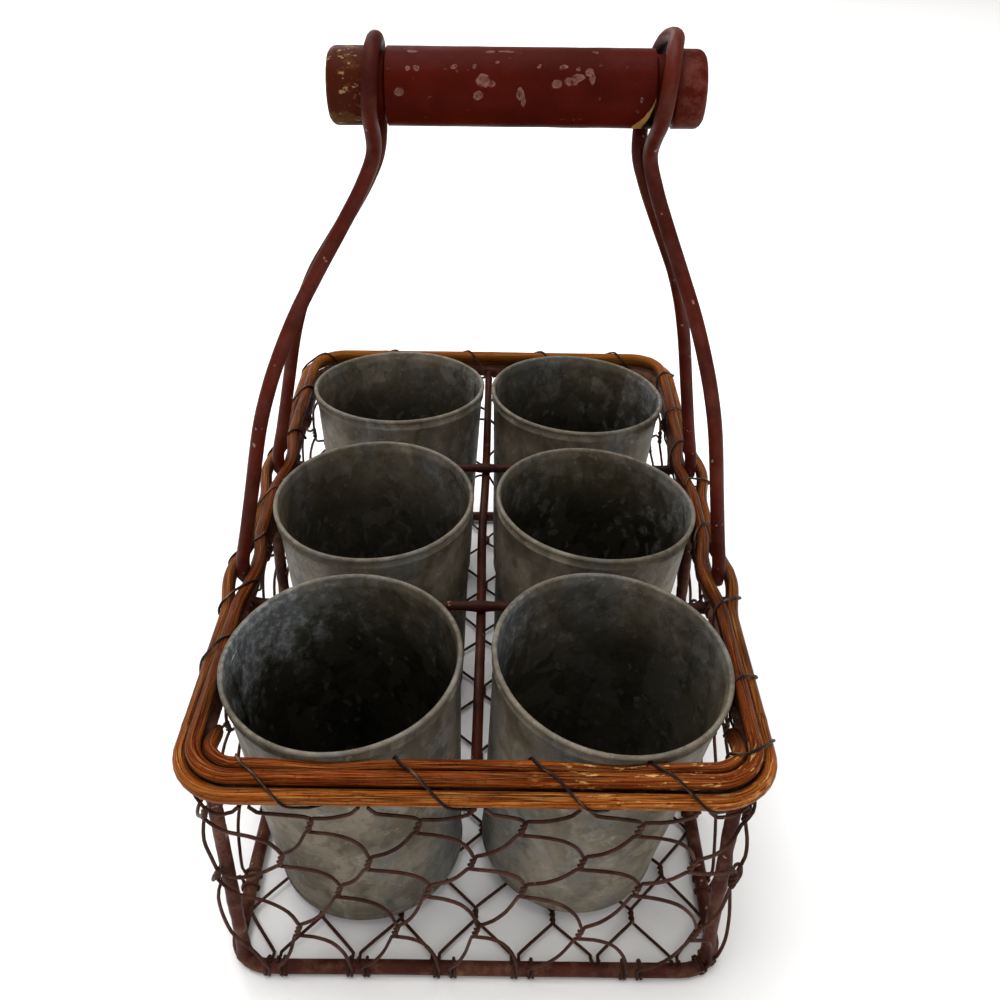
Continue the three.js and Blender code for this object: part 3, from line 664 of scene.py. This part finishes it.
outer_places = cane_places(OUTER_OUT, outer_up, OUTER_BOW, 1.0)
finish_piece("cane_outer", draw_cane(outer_places, True, cane_swell(1.0), (142, -135)), outer_rattan, "frame",
             "rattan", "rim_cane_outer")
inner_places = cane_places(INNER_OUT, lambda distance: INNER_UP, INNER_BOW, 2.0)
finish_piece("cane_inner", draw_cane(inner_places, True, cane_swell(2.0), (-38, -90, 175)), inner_rattan,
             "frame", "rattan", "rim_cane_inner")
front_places = [(d, *front_place(d))
                for d in (FRONT_END * (2 * i / FRONT_STEPS - 1) for i in range(FRONT_STEPS + 1))]
finish_piece("cane_front", draw_cane(front_places, False, trimmed, (20, -60)), inner_rattan, "frame",
             "rattan", "rim_cane_front")

# Lacing: one length of soft blackened wire wound round the top ring and the canes from beside one
# foot of the handle all the way round. It is pulled tight, so it bends at each cane and lies straight
# between them. Pale streaks along it are painted glints.
LACE_WIRE, LACE_SNUG, LACE_PER_TURN, LACE_STEP, LACE_SIDES = 0.9, 0.06, 16, 0.9, 8
# Turns made by each distance, counted to the left from the right front foot of the handle. Along the
# front it runs on below the rim, crosses it steeply at five places and soon dives behind it
LACE_FRONT_TOPS = (88.0, 57.3, 23.0, -16.5, -62.5)
LACE_RUN = 16.5
POT_PITCH = 87.0
LACE_CROSSING = ((LACE_RUN, 2.02), (10.0, 2.22), (0.0, 2.48), (-5.0, 2.6), (-9.0, 2.88))
LACE_MARKS = [(LEG_MARK - LEG_Y, 0.0), (LEG_MARK - POT_PITCH, 1.25)]
for number, top in enumerate(LACE_FRONT_TOPS):
    LACE_MARKS += [(top + along, number + turns) for along, turns in LACE_CROSSING]
LACE_MARKS += [(POT_PITCH - LEG_MARK + LACE_RUN, 7.02), (POT_PITCH - LEG_MARK - 3.0, 7.25),
               (LEG_Y - LEG_MARK, 9.0), (-LEG_MARK, 10.25), (-LEG_MARK - LEG_Y, 11.0),
               (-LEG_MARK - POT_PITCH, 12.25), (LEG_MARK + POT_PITCH - top_length, 19.25),
               (LEG_MARK + LEG_Y - top_length, 21.0), (LEG_MARK - top_length, 22.25),
               (LEG_MARK - LEG_Y - top_length + 4.0, 23.0)]


def lace_distance(turns):
    for (start, before), (stop, after) in zip(LACE_MARKS, LACE_MARKS[1:]):
        if turns <= after:
            return start + (stop - start) * (turns - before) / (after - before)
    return LACE_MARKS[-1][0]


def lace_touch(distance, angle):
    """Where the wire lies, out and up from the top ring, on the rod that stands out most at an angle."""
    bow = bow_at(distance)
    rods = [(Vector((0, 0)), TOP_ROD), (Vector((OUTER_OUT + OUTER_BOW * bow, outer_up(distance))), CANE),
            (Vector((INNER_OUT + INNER_BOW * bow, INNER_UP)), CANE)]
    from_front = (distance + top_length / 2) % top_length - top_length / 2
    if abs(from_front) < FRONT_END:
        rods.append((front_place(from_front), CANE))
    way = Vector((math.cos(angle), math.sin(angle)))
    middle, rod = max(rods, key=lambda rod: rod[0].dot(way) + rod[1] / 2)
    return middle + way * (rod / 2 + LACE_SNUG + LACE_WIRE / 2)


def lace_point(turns):
    """The wire runs evenly through each quarter of a turn: round the rods and straight between them."""
    distance = lace_distance(turns)
    quarter, share = divmod(turns * 4, 1)
    stops = [lace_touch(distance, (quarter + i / 16 - 1) * math.pi / 2) for i in range(17)]
    rest = share * sum((b - a).length for a, b in zip(stops, stops[1:]))
    for a, b in zip(stops, stops[1:]):
        run = (b - a).length
        if rest <= run:
            out, up = a.lerp(b, rest / run)
            return beside_top(distance, out, up)
        rest -= run
    return beside_top(distance, *stops[-1])


lace_route = smooth_run([lace_point(i / LACE_PER_TURN)
                         for i in range(round(LACE_MARKS[-1][1] * LACE_PER_TURN) + 1)], LACE_STEP)

mix = Finish("lacing wire")
lay = mix.noted("lay", "Vector")
# Pale, less rough streaks along the wire are painted glints
painted_glint = mix.fade(mix.cloud(mix.stretched(lay, (0.9, 0.9, 0.12)), 1.0, 4.0), 0.54, 0.68)
mix.give(Base_Color=mix.blend(painted_glint, "150704", "6e4e3a"), Roughness=mix.span(painted_glint, 0.5, 0.3),
         Specular_IOR_Level=0.14)
finish_piece("lacing", draw_rod(lace_route, LACE_WIRE / 2, LACE_SIDES), mix.material, "frame",
             "lacing", "rim_lacing")

# Handle wires: two hairpins of steel rod. Each loops over the grip, draws in to a neck below it and
# opens to two feet that stand on the top ring between the canes. Oxblood paint with small chips. The
# left loop sits down in its groove and the right one stands loose over its own.
HANDLE_ROD, HANDLE_STEP, HANDLE_SIDES = 4.9, 1.6, 16
GRIP_Z, NECK_DROP, NECK_GAP = 255.1, 19.0, 0.7
STRAND_HALF = (HANDLE_ROD + NECK_GAP) / 2
LEG_X, LEG_TOP, LEG_FOOT = 85.2, 100.1, 92.4
# Each hairpin: its side, its crown and its neck along the grip, the bore of its loop and its skew
HAIRPINS = (("left", -1, -32.5, -33.7, 22.0, -0.5), ("right", 1, 57.5, 51.0, 25.4, 1.5))
# Down a strand: shares of the fall, of the way out and of the way apart
HAIRPIN_SWEEP = ((0.08, 0.082, 0.02), (0.177, 0.231, 0.11), (0.265, 0.375, 0.27), (0.353, 0.512, 0.5),
                 (0.441, 0.622, 0.7), (0.522, 0.703, 0.85), (0.618, 0.776, 0.94), (0.78, 0.868, 0.985),
                 (0.9, 0.938, 1.0))
handle_paint = painted_steel("handle paint", "4c180d", "340c06", "8e6f62", 0.69, "5e3428", 0.4)


def strand(side, crown, neck, bore, skew, front):
    """One half of a hairpin, from beside the crown of its loop down to its foot."""
    radius = (bore + HANDLE_ROD) / 2
    neck_z = GRIP_Z - NECK_DROP
    points = []
    for degrees in (30, 60, 90, 115):
        angle = math.radians(degrees)
        points.append(Vector((crown + (neck - crown + front * skew) * degrees / 150,
                              -front * radius * math.sin(angle), GRIP_Z + radius * math.cos(angle))))
    points.append(Vector((neck + front * skew, -front * STRAND_HALF, neck_z)))
    for fall, outward, apart in HAIRPIN_SWEEP:
        points.append(Vector((neck + (side * LEG_X - neck) * outward + front * skew * (1 - fall),
                              -front * (STRAND_HALF + (LEG_Y - STRAND_HALF) * apart),
                              neck_z + (LEG_TOP - neck_z) * fall)))
    return points + [Vector((side * LEG_X, -front * LEG_Y, LEG_TOP)),
                     Vector((side * LEG_X, -front * LEG_Y, LEG_FOOT))]


for name, side, crown, neck, bore, skew in HAIRPINS:
    top = Vector((crown, 0, GRIP_Z + (bore + HANDLE_ROD) / 2))
    front, rear = (strand(side, crown, neck, bore, skew, way) for way in (1, -1))
    hairpin = draw_rod(smooth_run(front[::-1] + [top] + rear, HANDLE_STEP), HANDLE_ROD / 2, HANDLE_SIDES)
    finish_piece("hairpin_" + name, hairpin, handle_paint, "frame", "painted_steel", "handle_wire_" + name)

# Grip: a turned softwood dowel with a groove for each loop, painted oxblood. The paint has chipped in
# small round spots, worn through to scratched wood at the left end, and split off at the right groove,
# with a painted shadow of the gap under the loop beside the split.
GRIP_RADIUS, GRIP_HALF, GRIP_X, GRIP_EDGE = 11.5, 57.0, 10.2, 2.6
GROOVES = (-32.2, 54.9)
GROOVE_HALF, GROOVE_DEPTH, GROOVE_SLOPE = 3.2, 1.6, 0.8
GRIP_SIDES, GRIP_CUTS, GRIP_CUT_OVER = 72, 14, 12


def spin_round(bm, axis, steps):
    """Spins a drawn profile once round an axis through the origin and closes it."""
    bmesh.ops.spin(bm, geom=bm.verts[:] + bm.edges[:], cent=(0, 0, 0), axis=axis, dvec=(0, 0, 0),
                   angle=2 * math.pi, steps=steps, use_merge=True)
    bmesh.ops.remove_doubles(bm, verts=bm.verts, dist=0.001)


profile = [(-GRIP_HALF, 0.0), (-GRIP_HALF, GRIP_RADIUS - GRIP_EDGE)]
profile += [(-GRIP_HALF + GRIP_EDGE * (1 - math.cos(a)), GRIP_RADIUS - GRIP_EDGE * (1 - math.sin(a)))
            for a in (math.radians(d) for d in (22, 45, 68, 90))]
for groove in GROOVES:
    middle = groove - GRIP_X
    profile += [(middle - GROOVE_HALF, GRIP_RADIUS),
                (middle - GROOVE_HALF + GROOVE_SLOPE, GRIP_RADIUS - GROOVE_DEPTH),
                (middle + GROOVE_HALF - GROOVE_SLOPE, GRIP_RADIUS - GROOVE_DEPTH),
                (middle + GROOVE_HALF, GRIP_RADIUS)]
profile += [(-along, out) for along, out in reversed(profile[:6])]
dowel = bmesh.new()
verts = [dowel.verts.new((along + GRIP_X, 0.0, out)) for along, out in profile]
edges = [dowel.edges.new(pair) for pair in zip(verts, verts[1:])]
long_edges = [e for e in edges if e.calc_length() > GRIP_CUT_OVER]
bmesh.ops.subdivide_edges(dowel, edges=long_edges, cuts=GRIP_CUTS)
spin_round(dowel, (1, 0, 0), GRIP_SIDES)
for vert in dowel.verts:
    dent = 0.12 * noise.noise(vert.co * 0.09) + 0.05 * noise.noise(vert.co * 0.4)
    vert.co.yz *= 1.0 + dent / GRIP_RADIUS
bmesh.ops.translate(dowel, vec=(0, 0, GRIP_Z), verts=dowel.verts)

# Chips in the paint: distance along the grip, degrees up from the front, radius along and round
CHIPS = ((-24.6, 5.7, 1.4, 1.4), (-22.3, 39.0, 0.8, 0.9), (-19.6, 40.0, 1.1, 1.1), (-20.9, 72.0, 1.8, 0.8),
         (-8.5, 42.5, 1.2, 0.9), (-2.4, 43.5, 0.7, 0.7), (-1.2, 0.4, 1.6, 1.3), (0.2, 22.0, 2.3, 2.0),
         (2.6, 17.5, 1.4, 1.0), (4.2, 51.0, 0.7, 0.7), (2.1, 72.0, 1.5, 0.7), (7.1, 74.0, 2.6, 0.7),
         (11.2, 4.0, 1.0, 2.0), (12.1, -5.0, 0.7, 2.2), (16.9, 43.5, 0.7, 0.7), (21.9, 18.7, 1.6, 1.3),
         (23.9, 43.5, 1.3, 0.8), (26.2, 22.0, 2.0, 1.2), (28.6, 28.0, 2.0, 1.1), (28.4, 40.0, 0.8, 0.7),
         (31.6, 36.0, 1.2, 1.3), (32.4, 27.0, 1.0, 1.9), (33.4, 74.0, 0.9, 0.8), (47.4, -2.5, 0.6, 0.9))
CHIP_WOBBLE = 0.0016
# Split at the right groove, in metres: the height it starts at, how far it goes down, and the groove's edge
SPLIT_TOP, SPLIT_DROP, GROOVE_EDGE = 0.2552, 0.0094, 0.0516
mix = Finish("grip paint")
place = mix.place()
wobble = mix.jostled(place, 420.0, 2.0, CHIP_WOBBLE)
nearest = None
for along, degrees, wide, tall in CHIPS:
    angle = math.radians(degrees)
    spot = Vector((along, -GRIP_RADIUS * math.cos(angle), GRIP_Z + GRIP_RADIUS * math.sin(angle))) * MM
    spot += Vector((CHIP_WOBBLE, CHIP_WOBBLE, CHIP_WOBBLE)) / 2
    offset = mix.sum_up("VectorMath", "SUBTRACT", wobble, spot).outputs[0]
    grown = mix.stretched(offset, (1 / (wide * MM), 1 / (tall * MM), 1 / (tall * MM)))
    size = mix.sum_up("VectorMath", "LENGTH", grown).outputs["Value"]
    nearest = size if nearest is None else mix.calc("MINIMUM", nearest, size)
chipped = mix.fade(nearest, 1.05, 0.8)
scuff = mix.minus(chipped, mix.times(mix.fade(nearest, 0.8, 0.45), 0.4))
scuff = mix.times(scuff, mix.spots(place, 620.0, 5.0, 0.8, 0.3, 0.62))
x, y, z = mix.split(place)
mottle = mix.spots(place, 70.0, 5.0, 0.6, 0.3, 0.7)
speck = mix.spots(place, 360.0, 3.0, 0.6, 0.66, 0.74)
left_end = mix.fade(x, -0.0345, -0.0365)
bare = mix.times(left_end, mix.spots(place, 130.0, 5.0, 0.7, 0.5, 0.62))
scratches = mix.cloud(mix.stretched(place, (260.0, 420.0, 420.0)), 1.0, 4.0, 0.7)
scratch = mix.times(left_end, mix.fade(scratches, 0.58, 0.66))
below = mix.add("MapRange", Value=z, From_Min=SPLIT_TOP, From_Max=SPLIT_TOP - SPLIT_DROP).outputs["Result"]
steep = mix.times(below, below)
ragged = mix.times(mix.minus(mix.cloud(place, 300.0, 3.0), 0.5), 0.0012)
reach = mix.plus(mix.plus(x, ragged), mix.times(below, 0.0018))
front = mix.times(mix.fade(y, -0.001, -0.002), mix.fade(x, GROOVE_EDGE + 0.0004, GROOVE_EDGE + 0.0001))
front = mix.times(front, mix.fade(below, 0.0, 0.06))
wood = mix.plus(reach, mix.times(steep, 0.0042))
split = mix.times(front, mix.fade(wood, GROOVE_EDGE - 0.0003, GROOVE_EDGE + 0.0001))
# A near-black band between the split and the groove is a painted shadow of the gap under the loop
shadow = mix.plus(reach, mix.times(steep, 0.0012))
gap_shadow = mix.times(front, mix.fade(shadow, GROOVE_EDGE - 0.0001, GROOVE_EDGE + 0.0004))
dusty_end = mix.times(mix.fade(x, 0.0575, 0.0605), mix.spots(place, 190.0, 6.0, 0.75, 0.36, 0.68))
colour = mix.coats(mix.blend(mottle, "440f06", "370a03"), (left_end, 0.75, "3c180c"), (bare, 0.5, "5a3f20"),
                   (dusty_end, 0.5, "6e4034"), (speck, 0.3, "7a5248"), (scuff, 0.75, "836056"),
                   (scratch, 0.6, "a4875c"))
colour = mix.blend(split, colour, mix.blend(mottle, "b48c52", "7d5a2e"))
height = mix.minus(mix.times(mix.cloud(place, 260.0, 4.0), 0.35),
                   mix.plus(mix.calc("MAXIMUM", chipped, split), mix.times(bare, 0.6)))
mix.give(Base_Color=mix.blend(gap_shadow, colour, "100704"),
         Roughness=mix.span(mix.calc("MAXIMUM", scuff, mottle), 0.3, 0.5),
         Normal=mix.bump(height, 0.0003, 0.6), Specular_IOR_Level=0.022)
finish_piece("grip_dowel", dowel, mix.material, "grip", "grip_paint", "handle_grip")

# Pots: sheet zinc rolled to a taper with a lapped seam, the top edge hemmed over and beaded, and a pan
# crimped in a little way up, which leaves a line round the foot. Left out in the rain, the zinc has
# turned mottled grey, blue and olive. Inside there is painted shade that deepens towards the bottom,
# and a pale painted reflection high on one side.
POT_HEIGHT, POT_BASE, POT_RIM, POT_WALL, POT_BEAD = 98.0, 31.0, 38.5, 0.8, 0.9
POT_TOP, POT_HEM, POT_HEM_STEP, POT_ROLL = 37.5, 4.6, 0.3, 0.7
POT_SEAT, POT_SIDES = 3.7, 96
POT_LEVELS = (6, 14, 24, 34, 44, 54, 64, 74, 83)
# The crimped foot: heights, and steps out from the wall
POT_FOOT = ((0.0, -0.35), (0.5, 0.05), (2.2, 0.15), (2.8, -0.3), (3.6, -0.1))
SEAM_LEVELS, SEAM_STEPS, SEAM_DEGREES, SEAM_THICK = (3.6, 20, 40, 60, 80), 4, 2.6, 0.55
# Where the pale painted reflection inside a pot begins up the wall, and how far it rises to its full share
REFLECTION_FROM, REFLECTION_RISE = 0.6, 0.35
DENT, DENT_PACE, DENT_HEIGHT, DENT_FROM = 0.4, 1.2, 55, 10
# Each pot: cell to the right and rear, shift of its mouth, lean to the front and tip to the right in
# degrees, the place of its seam, its hand-rolled base, how deep the painted shade inside is, and the
# place and share of the pale painted reflection inside
POTS = {"front_left": (-1, -1, -1.2, -3.7, 5.0, -2.2, 168, 33.2, 0.96, 155, 0.95),
        "front_right": (1, -1, 1.2, -3.9, 6.0, 6.0, 243, 31.6, 0.74, 168, 0.95),
        "middle_left": (-1, 0, -0.3, 1.3, 2.9, -0.6, 300, 32.0, 0.68, 15, 0.5),
        "middle_right": (1, 0, 1.6, -0.7, 0.0, 4.6, 305, 31.6, 1.0, 10, 0.45),
        "rear_left": (-1, 1, 2.2, 5.6, -3.6, 0.2, 20, 31.6, 0.8, 15, 0.45),
        "rear_right": (1, 1, -1.2, 0.3, -1.4, 3.0, 250, 31.6, 0.95, 10, 0.5)}


def aged_zinc(name):
    """Mottled zinc: flaky inside with painted shade that deepens downwards and a pale painted reflection,
    warm grey with blue and olive stains outside, rubbed at the rim."""
    mix = Finish(name)
    place = mix.place()
    inside, height_up, rim = mix.split(mix.noted("wear_and_shade", "Vector"))
    bent = mix.jostled(place, 110.0, 4.0, 0.016)
    flakes = mix.add("TexVoronoi", Vector=mix.stretched(bent, (1.0, 1.0, 0.7)), Scale=130.0)
    flake = mix.add("SeparateColor", Color=flakes.outputs["Color"]).outputs["Red"]
    dabs = mix.add("TexVoronoi", Vector=mix.stretched(bent, (1.0, 1.0, 0.45)), Scale=260.0)
    chosen = mix.add("SeparateColor", Color=dabs.outputs["Color"]).outputs["Green"]
    dab = mix.times(mix.fade(dabs.outputs["Distance"], 0.42, 0.3), mix.fade(chosen, 0.7, 0.8))
    broad = mix.cloud(place, 24.0, 4.0, 0.6)
    hue = mix.cloud(mix.stretched(bent, (1.0, 1.0, 0.5)), 36.0, 4.0, 0.6)
    mottle = mix.cloud(place, 150.0, 6.0, 0.7)
    drips = mix.cloud(mix.stretched(bent, (1.0, 1.0, 0.12)), 90.0, 4.0, 0.6)
    chalk = mix.spots(place, 230.0, 5.0, 0.75, 0.58, 0.7)
    grey = mix.coats(mix.blend(mix.fade(broad, 0.36, 0.64), "584f40", "7f7565"),
                     (mix.fade(hue, 0.48, 0.64), 0.5, "566069"), (mix.fade(hue, 0.46, 0.3), 0.55, "655b45"),
                     (mix.fade(drips, 0.5, 0.7), 0.5, "3a362d"), (mix.fade(drips, 0.48, 0.3), 0.45, "9d9585"),
                     (mix.fade(mottle, 0.46, 0.66), 0.35, "34312a"),
                     (mix.fade(flake, 0.68, 0.78), 0.12, "a29c8e"),
                     (mix.fade(flake, 0.34, 0.24), 0.14, "3c3a33"), (chalk, 0.35, "b0aa9c"))
    deep_shade_tint = mix.coats(mix.blend(mix.fade(mottle, 0.4, 0.66), "201e15", "090905"),
                     (mix.fade(flake, 0.5, 0.64), 0.25, "343124"), (dab, 0.35, "5b5c54"))
    # Painted shade inside: it deepens towards the bottom, with flakes in it
    shade_level = mix.plus(height_up, mix.times(mix.minus(mottle, 0.5), 0.5))
    deep_shade_share = mix.times(inside, mix.times(mix.fade(shade_level, 0.96, 0.68), mix.span(flake, 1.0, 0.88)))
    speck = mix.cloud(place, 340.0, 6.0, 0.75)
    frost = mix.times(mix.fade(speck, 0.52, 0.64), mix.fade(hue, 0.38, 0.6))
    ragged = mix.minus(mix.plus(mottle, mix.times(flake, 0.12)), 0.56)
    lip = mix.fade(mix.plus(height_up, mix.times(ragged, 0.45)), 0.84, 0.99)
    # A pale painted reflection high inside each pot, on the side that its attribute faces
    painted_reflection = mix.fade(mix.plus(mix.noted("painted_reflection", "Fac"), mix.times(ragged, 1.6)), 0.12, 0.95)
    pale = mix.blend(mix.fade(speck, 0.42, 0.66), "606468", "9a9d9e")
    worn = mix.blend(mix.fade(speck, 0.4, 0.64), "48433a", "726b60")
    # The inside walls take painted shade, less of it near the lip, and pale specks of frost
    colour = mix.coats(grey, (inside, mix.span(lip, 0.64, 0.22), "272313"),
                       (inside, mix.times(frost, 0.3), "767d80"))
    colour = mix.coats(mix.blend(deep_shade_share, colour, deep_shade_tint), (painted_reflection, inside, pale),
                       (rim, mix.span(mottle, 0.9, 0.1), worn))
    height = mix.plus(mottle, mix.times(flake, 0.4))
    mix.give(Base_Color=colour, Roughness=mix.span(mottle, 0.34, 0.7), Normal=mix.bump(height, 0.00025, 0.8),
             Metallic=0.1, Specular_IOR_Level=0.1)
    return mix.material


zinc = aged_zinc("aged zinc")


def wall_radius(height, base):
    return base + (POT_TOP - base) * height / (POT_HEIGHT - 2 * POT_BEAD)


def spun(profile, closed):
    """Spins a profile of radius and height round the pot's axis."""
    bm = bmesh.new()
    verts = [bm.verts.new((radius, 0.0, height)) for radius, height in profile]
    pairs = list(zip(verts, verts[1:])) + ([(verts[-1], verts[0])] if closed else [])
    for pair in pairs:
        bm.edges.new(pair)
    spin_round(bm, (0, 0, 1), POT_SIDES)
    return bm


def pot_wall(seam_degrees, base):
    """The rolled wall with its crimped foot, its bead, the roll below it, a hem inside and a lapped seam."""
    hem = POT_HEIGHT - POT_HEM
    levels = [*POT_LEVELS, hem - 0.8]
    roll = ((hem - 0.2, POT_ROLL), (hem + 0.5, POT_ROLL), (hem + 1.2, 0.0), (POT_HEIGHT - 2 * POT_BEAD, 0.0))
    steps = [*POT_FOOT, *((h, 0.0) for h in levels), *roll]
    outer = [(wall_radius(h, base) + step, h) for h, step in steps]
    bead = [(POT_RIM - POT_BEAD + POT_BEAD * math.cos(a), POT_HEIGHT - POT_BEAD + POT_BEAD * math.sin(a))
            for a in map(math.radians, range(-50, 196, 35))]
    inner = [(wall_radius(h, base) - POT_WALL - POT_HEM_STEP, h) for h in (POT_HEIGHT - 2.6, hem)]
    inner += [(wall_radius(h, base) - POT_WALL, h) for h in reversed([0.0, 1.2] + levels)]
    bm = spun(outer + bead + inner, True)
    seam = bmesh.new()
    side = [seam.verts.new((wall_radius(h, base) - POT_WALL - 0.05, 0, h)) for h in (*SEAM_LEVELS, hem)]
    edges = [seam.edges.new(pair) for pair in zip(side, side[1:])]
    for step in range(SEAM_STEPS):
        grown = bmesh.ops.extrude_edge_only(seam, edges=edges)["geom"]
        moved = [g for g in grown if isinstance(g, bmesh.types.BMVert)]
        edges = [e for e in seam.edges if all(v in moved for v in e.verts)]
        turn = Matrix.Rotation(math.radians(SEAM_DEGREES), 3, "Z")
        bmesh.ops.rotate(seam, cent=(0, 0, 0), matrix=turn, verts=moved)
    bmesh.ops.recalc_face_normals(seam, faces=seam.faces)
    bmesh.ops.solidify(seam, geom=seam.faces[:], thickness=SEAM_THICK)
    turn = Matrix.Rotation(math.radians(seam_degrees), 3, "Z")
    bmesh.ops.rotate(seam, cent=(0, 0, 0), matrix=turn, verts=seam.verts)
    add_to(bm, seam)
    return bm


def pot_pan(base):
    """The floor pan, dished a little towards its middle."""
    edge = wall_radius(2.4, base) - POT_WALL - 0.1
    low = [(0.0, 2.0), (12.0, 2.05), (24.0, 2.3), (edge, 2.6)]
    high = [(edge, 3.6), (edge - 2.0, 3.3), (24.0, 3.1), (12.0, 2.85), (0.0, 2.8)]
    return spun(low + high, False)


def mark_wear_and_shade(bm, base, dark, reflection_at, reflection_share):
    """Notes for the finish: how deep the painted shade inside is, height up the wall, 1 on the bead, and
    how much pale painted reflection there is."""
    wear_and_shade = bm.verts.layers.float_vector.new("wear_and_shade")
    painted_reflection = bm.verts.layers.float.new("painted_reflection")
    for vert in bm.verts:
        radius = math.hypot(vert.co.x, vert.co.y)
        inside = dark if radius < wall_radius(vert.co.z, base) - POT_WALL / 2 else 0.0
        rim = max(0.0, 1.0 - (POT_HEIGHT - vert.co.z) / (2.2 * POT_BEAD))
        vert[wear_and_shade] = (inside, vert.co.z / POT_HEIGHT, rim)
        # The painted reflection is strongest on the side it faces and high up the wall
        facing = max(0.0, math.cos(math.atan2(vert.co.y, vert.co.x) - math.radians(reflection_at))) ** 3
        high = min(1.0, max(0.0, vert.co.z / POT_HEIGHT - REFLECTION_FROM) / REFLECTION_RISE)
        vert[painted_reflection] = reflection_share * facing * high


for number, (name, pot) in enumerate(POTS.items()):
    across, along, aside, back, lean, tip, seam, base, dark, *painted_reflection = pot
    turn = Matrix.Rotation(math.radians(lean), 4, "X") @ Matrix.Rotation(math.radians(tip), 4, "Y")
    up = turn @ Vector((0, 0, 1))
    mouth = Vector((across * POT_X + aside, along * POT_PITCH + back, 0))
    stand = mouth - POT_HEIGHT * Vector((up.x, up.y, 0))
    stand.z = POT_SEAT + POT_BASE * math.hypot(up.x, up.y)
    for piece, bm in (("wall", pot_wall(seam, base)), ("pan", pot_pan(base))):
        mark_wear_and_shade(bm, base, dark, *painted_reflection)
        for vert in bm.verts:
            flat = Vector((vert.co.x, vert.co.y, 0.0))
            way = flat.normalized() if flat.length > 1 else Vector((0, 0, 0))
            dent = noise.noise(way * DENT_PACE + Vector((number * 5.1, 0.0, vert.co.z / DENT_HEIGHT)))
            vert.co += way * DENT * dent * min(1.0, vert.co.z / DENT_FROM)
        bmesh.ops.transform(bm, matrix=Matrix.Translation(stand) @ turn, verts=bm.verts)
        node = "pot_" + name if piece == "wall" else "pot_%s_floor" % name
        finish_piece("zinc_%s_%s" % (piece, name), bm, zinc, "pot_" + name, "aged_zinc", node)

# The room: a wide flat floor in a pale matt finish, three broad soft lamps, and a camera close in front
# of the caddy and above it, looking down.
LENS_PIXELS, IMAGE_PIXELS, SENSOR = 1083.59, 1000, 36.0
CAMERA_PLACE = Vector((6.60, -345.14, 335.73)) * MM
CAMERA_DOWN, CAMERA_ROLL = 34.0, 0.65
GROUND_HALF = 6.0
LAMPS_AIM = Vector((0, 0, 0.1))

ground = bmesh.new()
bmesh.ops.create_grid(ground, x_segments=1, y_segments=1, size=GROUND_HALF)
floor = set_out("floor", as_mesh("floor", ground))
mix = Finish("floor")
mix.give(Base_Color=(0.93, 0.925, 0.92, 1.0), Roughness=0.9, Specular_IOR_Level=0.1)
floor.data.materials.append(mix.material)

for name, place, size, power in (("lamp over", (-0.3, 0.1, 2.4), 2.4, 62.0),
                                 ("lamp front", (0.6, -1.6, 1.0), 1.2, 8.0),
                                 ("lamp rear", (-0.7, 1.6, 1.2), 1.2, 12.0)):
    lamp = bpy.data.lights.new(name, "AREA")
    lamp.shape = "DISK"
    lamp.size = size
    lamp.energy = power
    holder = set_out(name, lamp)
    holder.location = place
    holder.rotation_euler = (LAMPS_AIM - Vector(place)).to_track_quat("-Z", "Y").to_euler()

world = bpy.data.worlds.new("room")
world.use_nodes = True
background = world.node_tree.nodes["Background"].inputs
background["Color"].default_value = (1.0, 0.985, 0.96, 1.0)
background["Strength"].default_value = 0.5
bpy.context.scene.world = world
bpy.context.scene.view_settings.view_transform = "Standard"

camera = bpy.data.cameras.new("camera")
camera.sensor_width = SENSOR
camera.lens = LENS_PIXELS * SENSOR / IMAGE_PIXELS
camera.clip_start = 0.01
eye = set_out("camera", camera)
tilt = Matrix.Rotation(math.radians(90 - CAMERA_DOWN), 4, "X")
roll = Matrix.Rotation(math.radians(CAMERA_ROLL), 4, "Z")
eye.matrix_world = Matrix.Translation(CAMERA_PLACE) @ tilt @ roll
bpy.context.scene.camera = eye
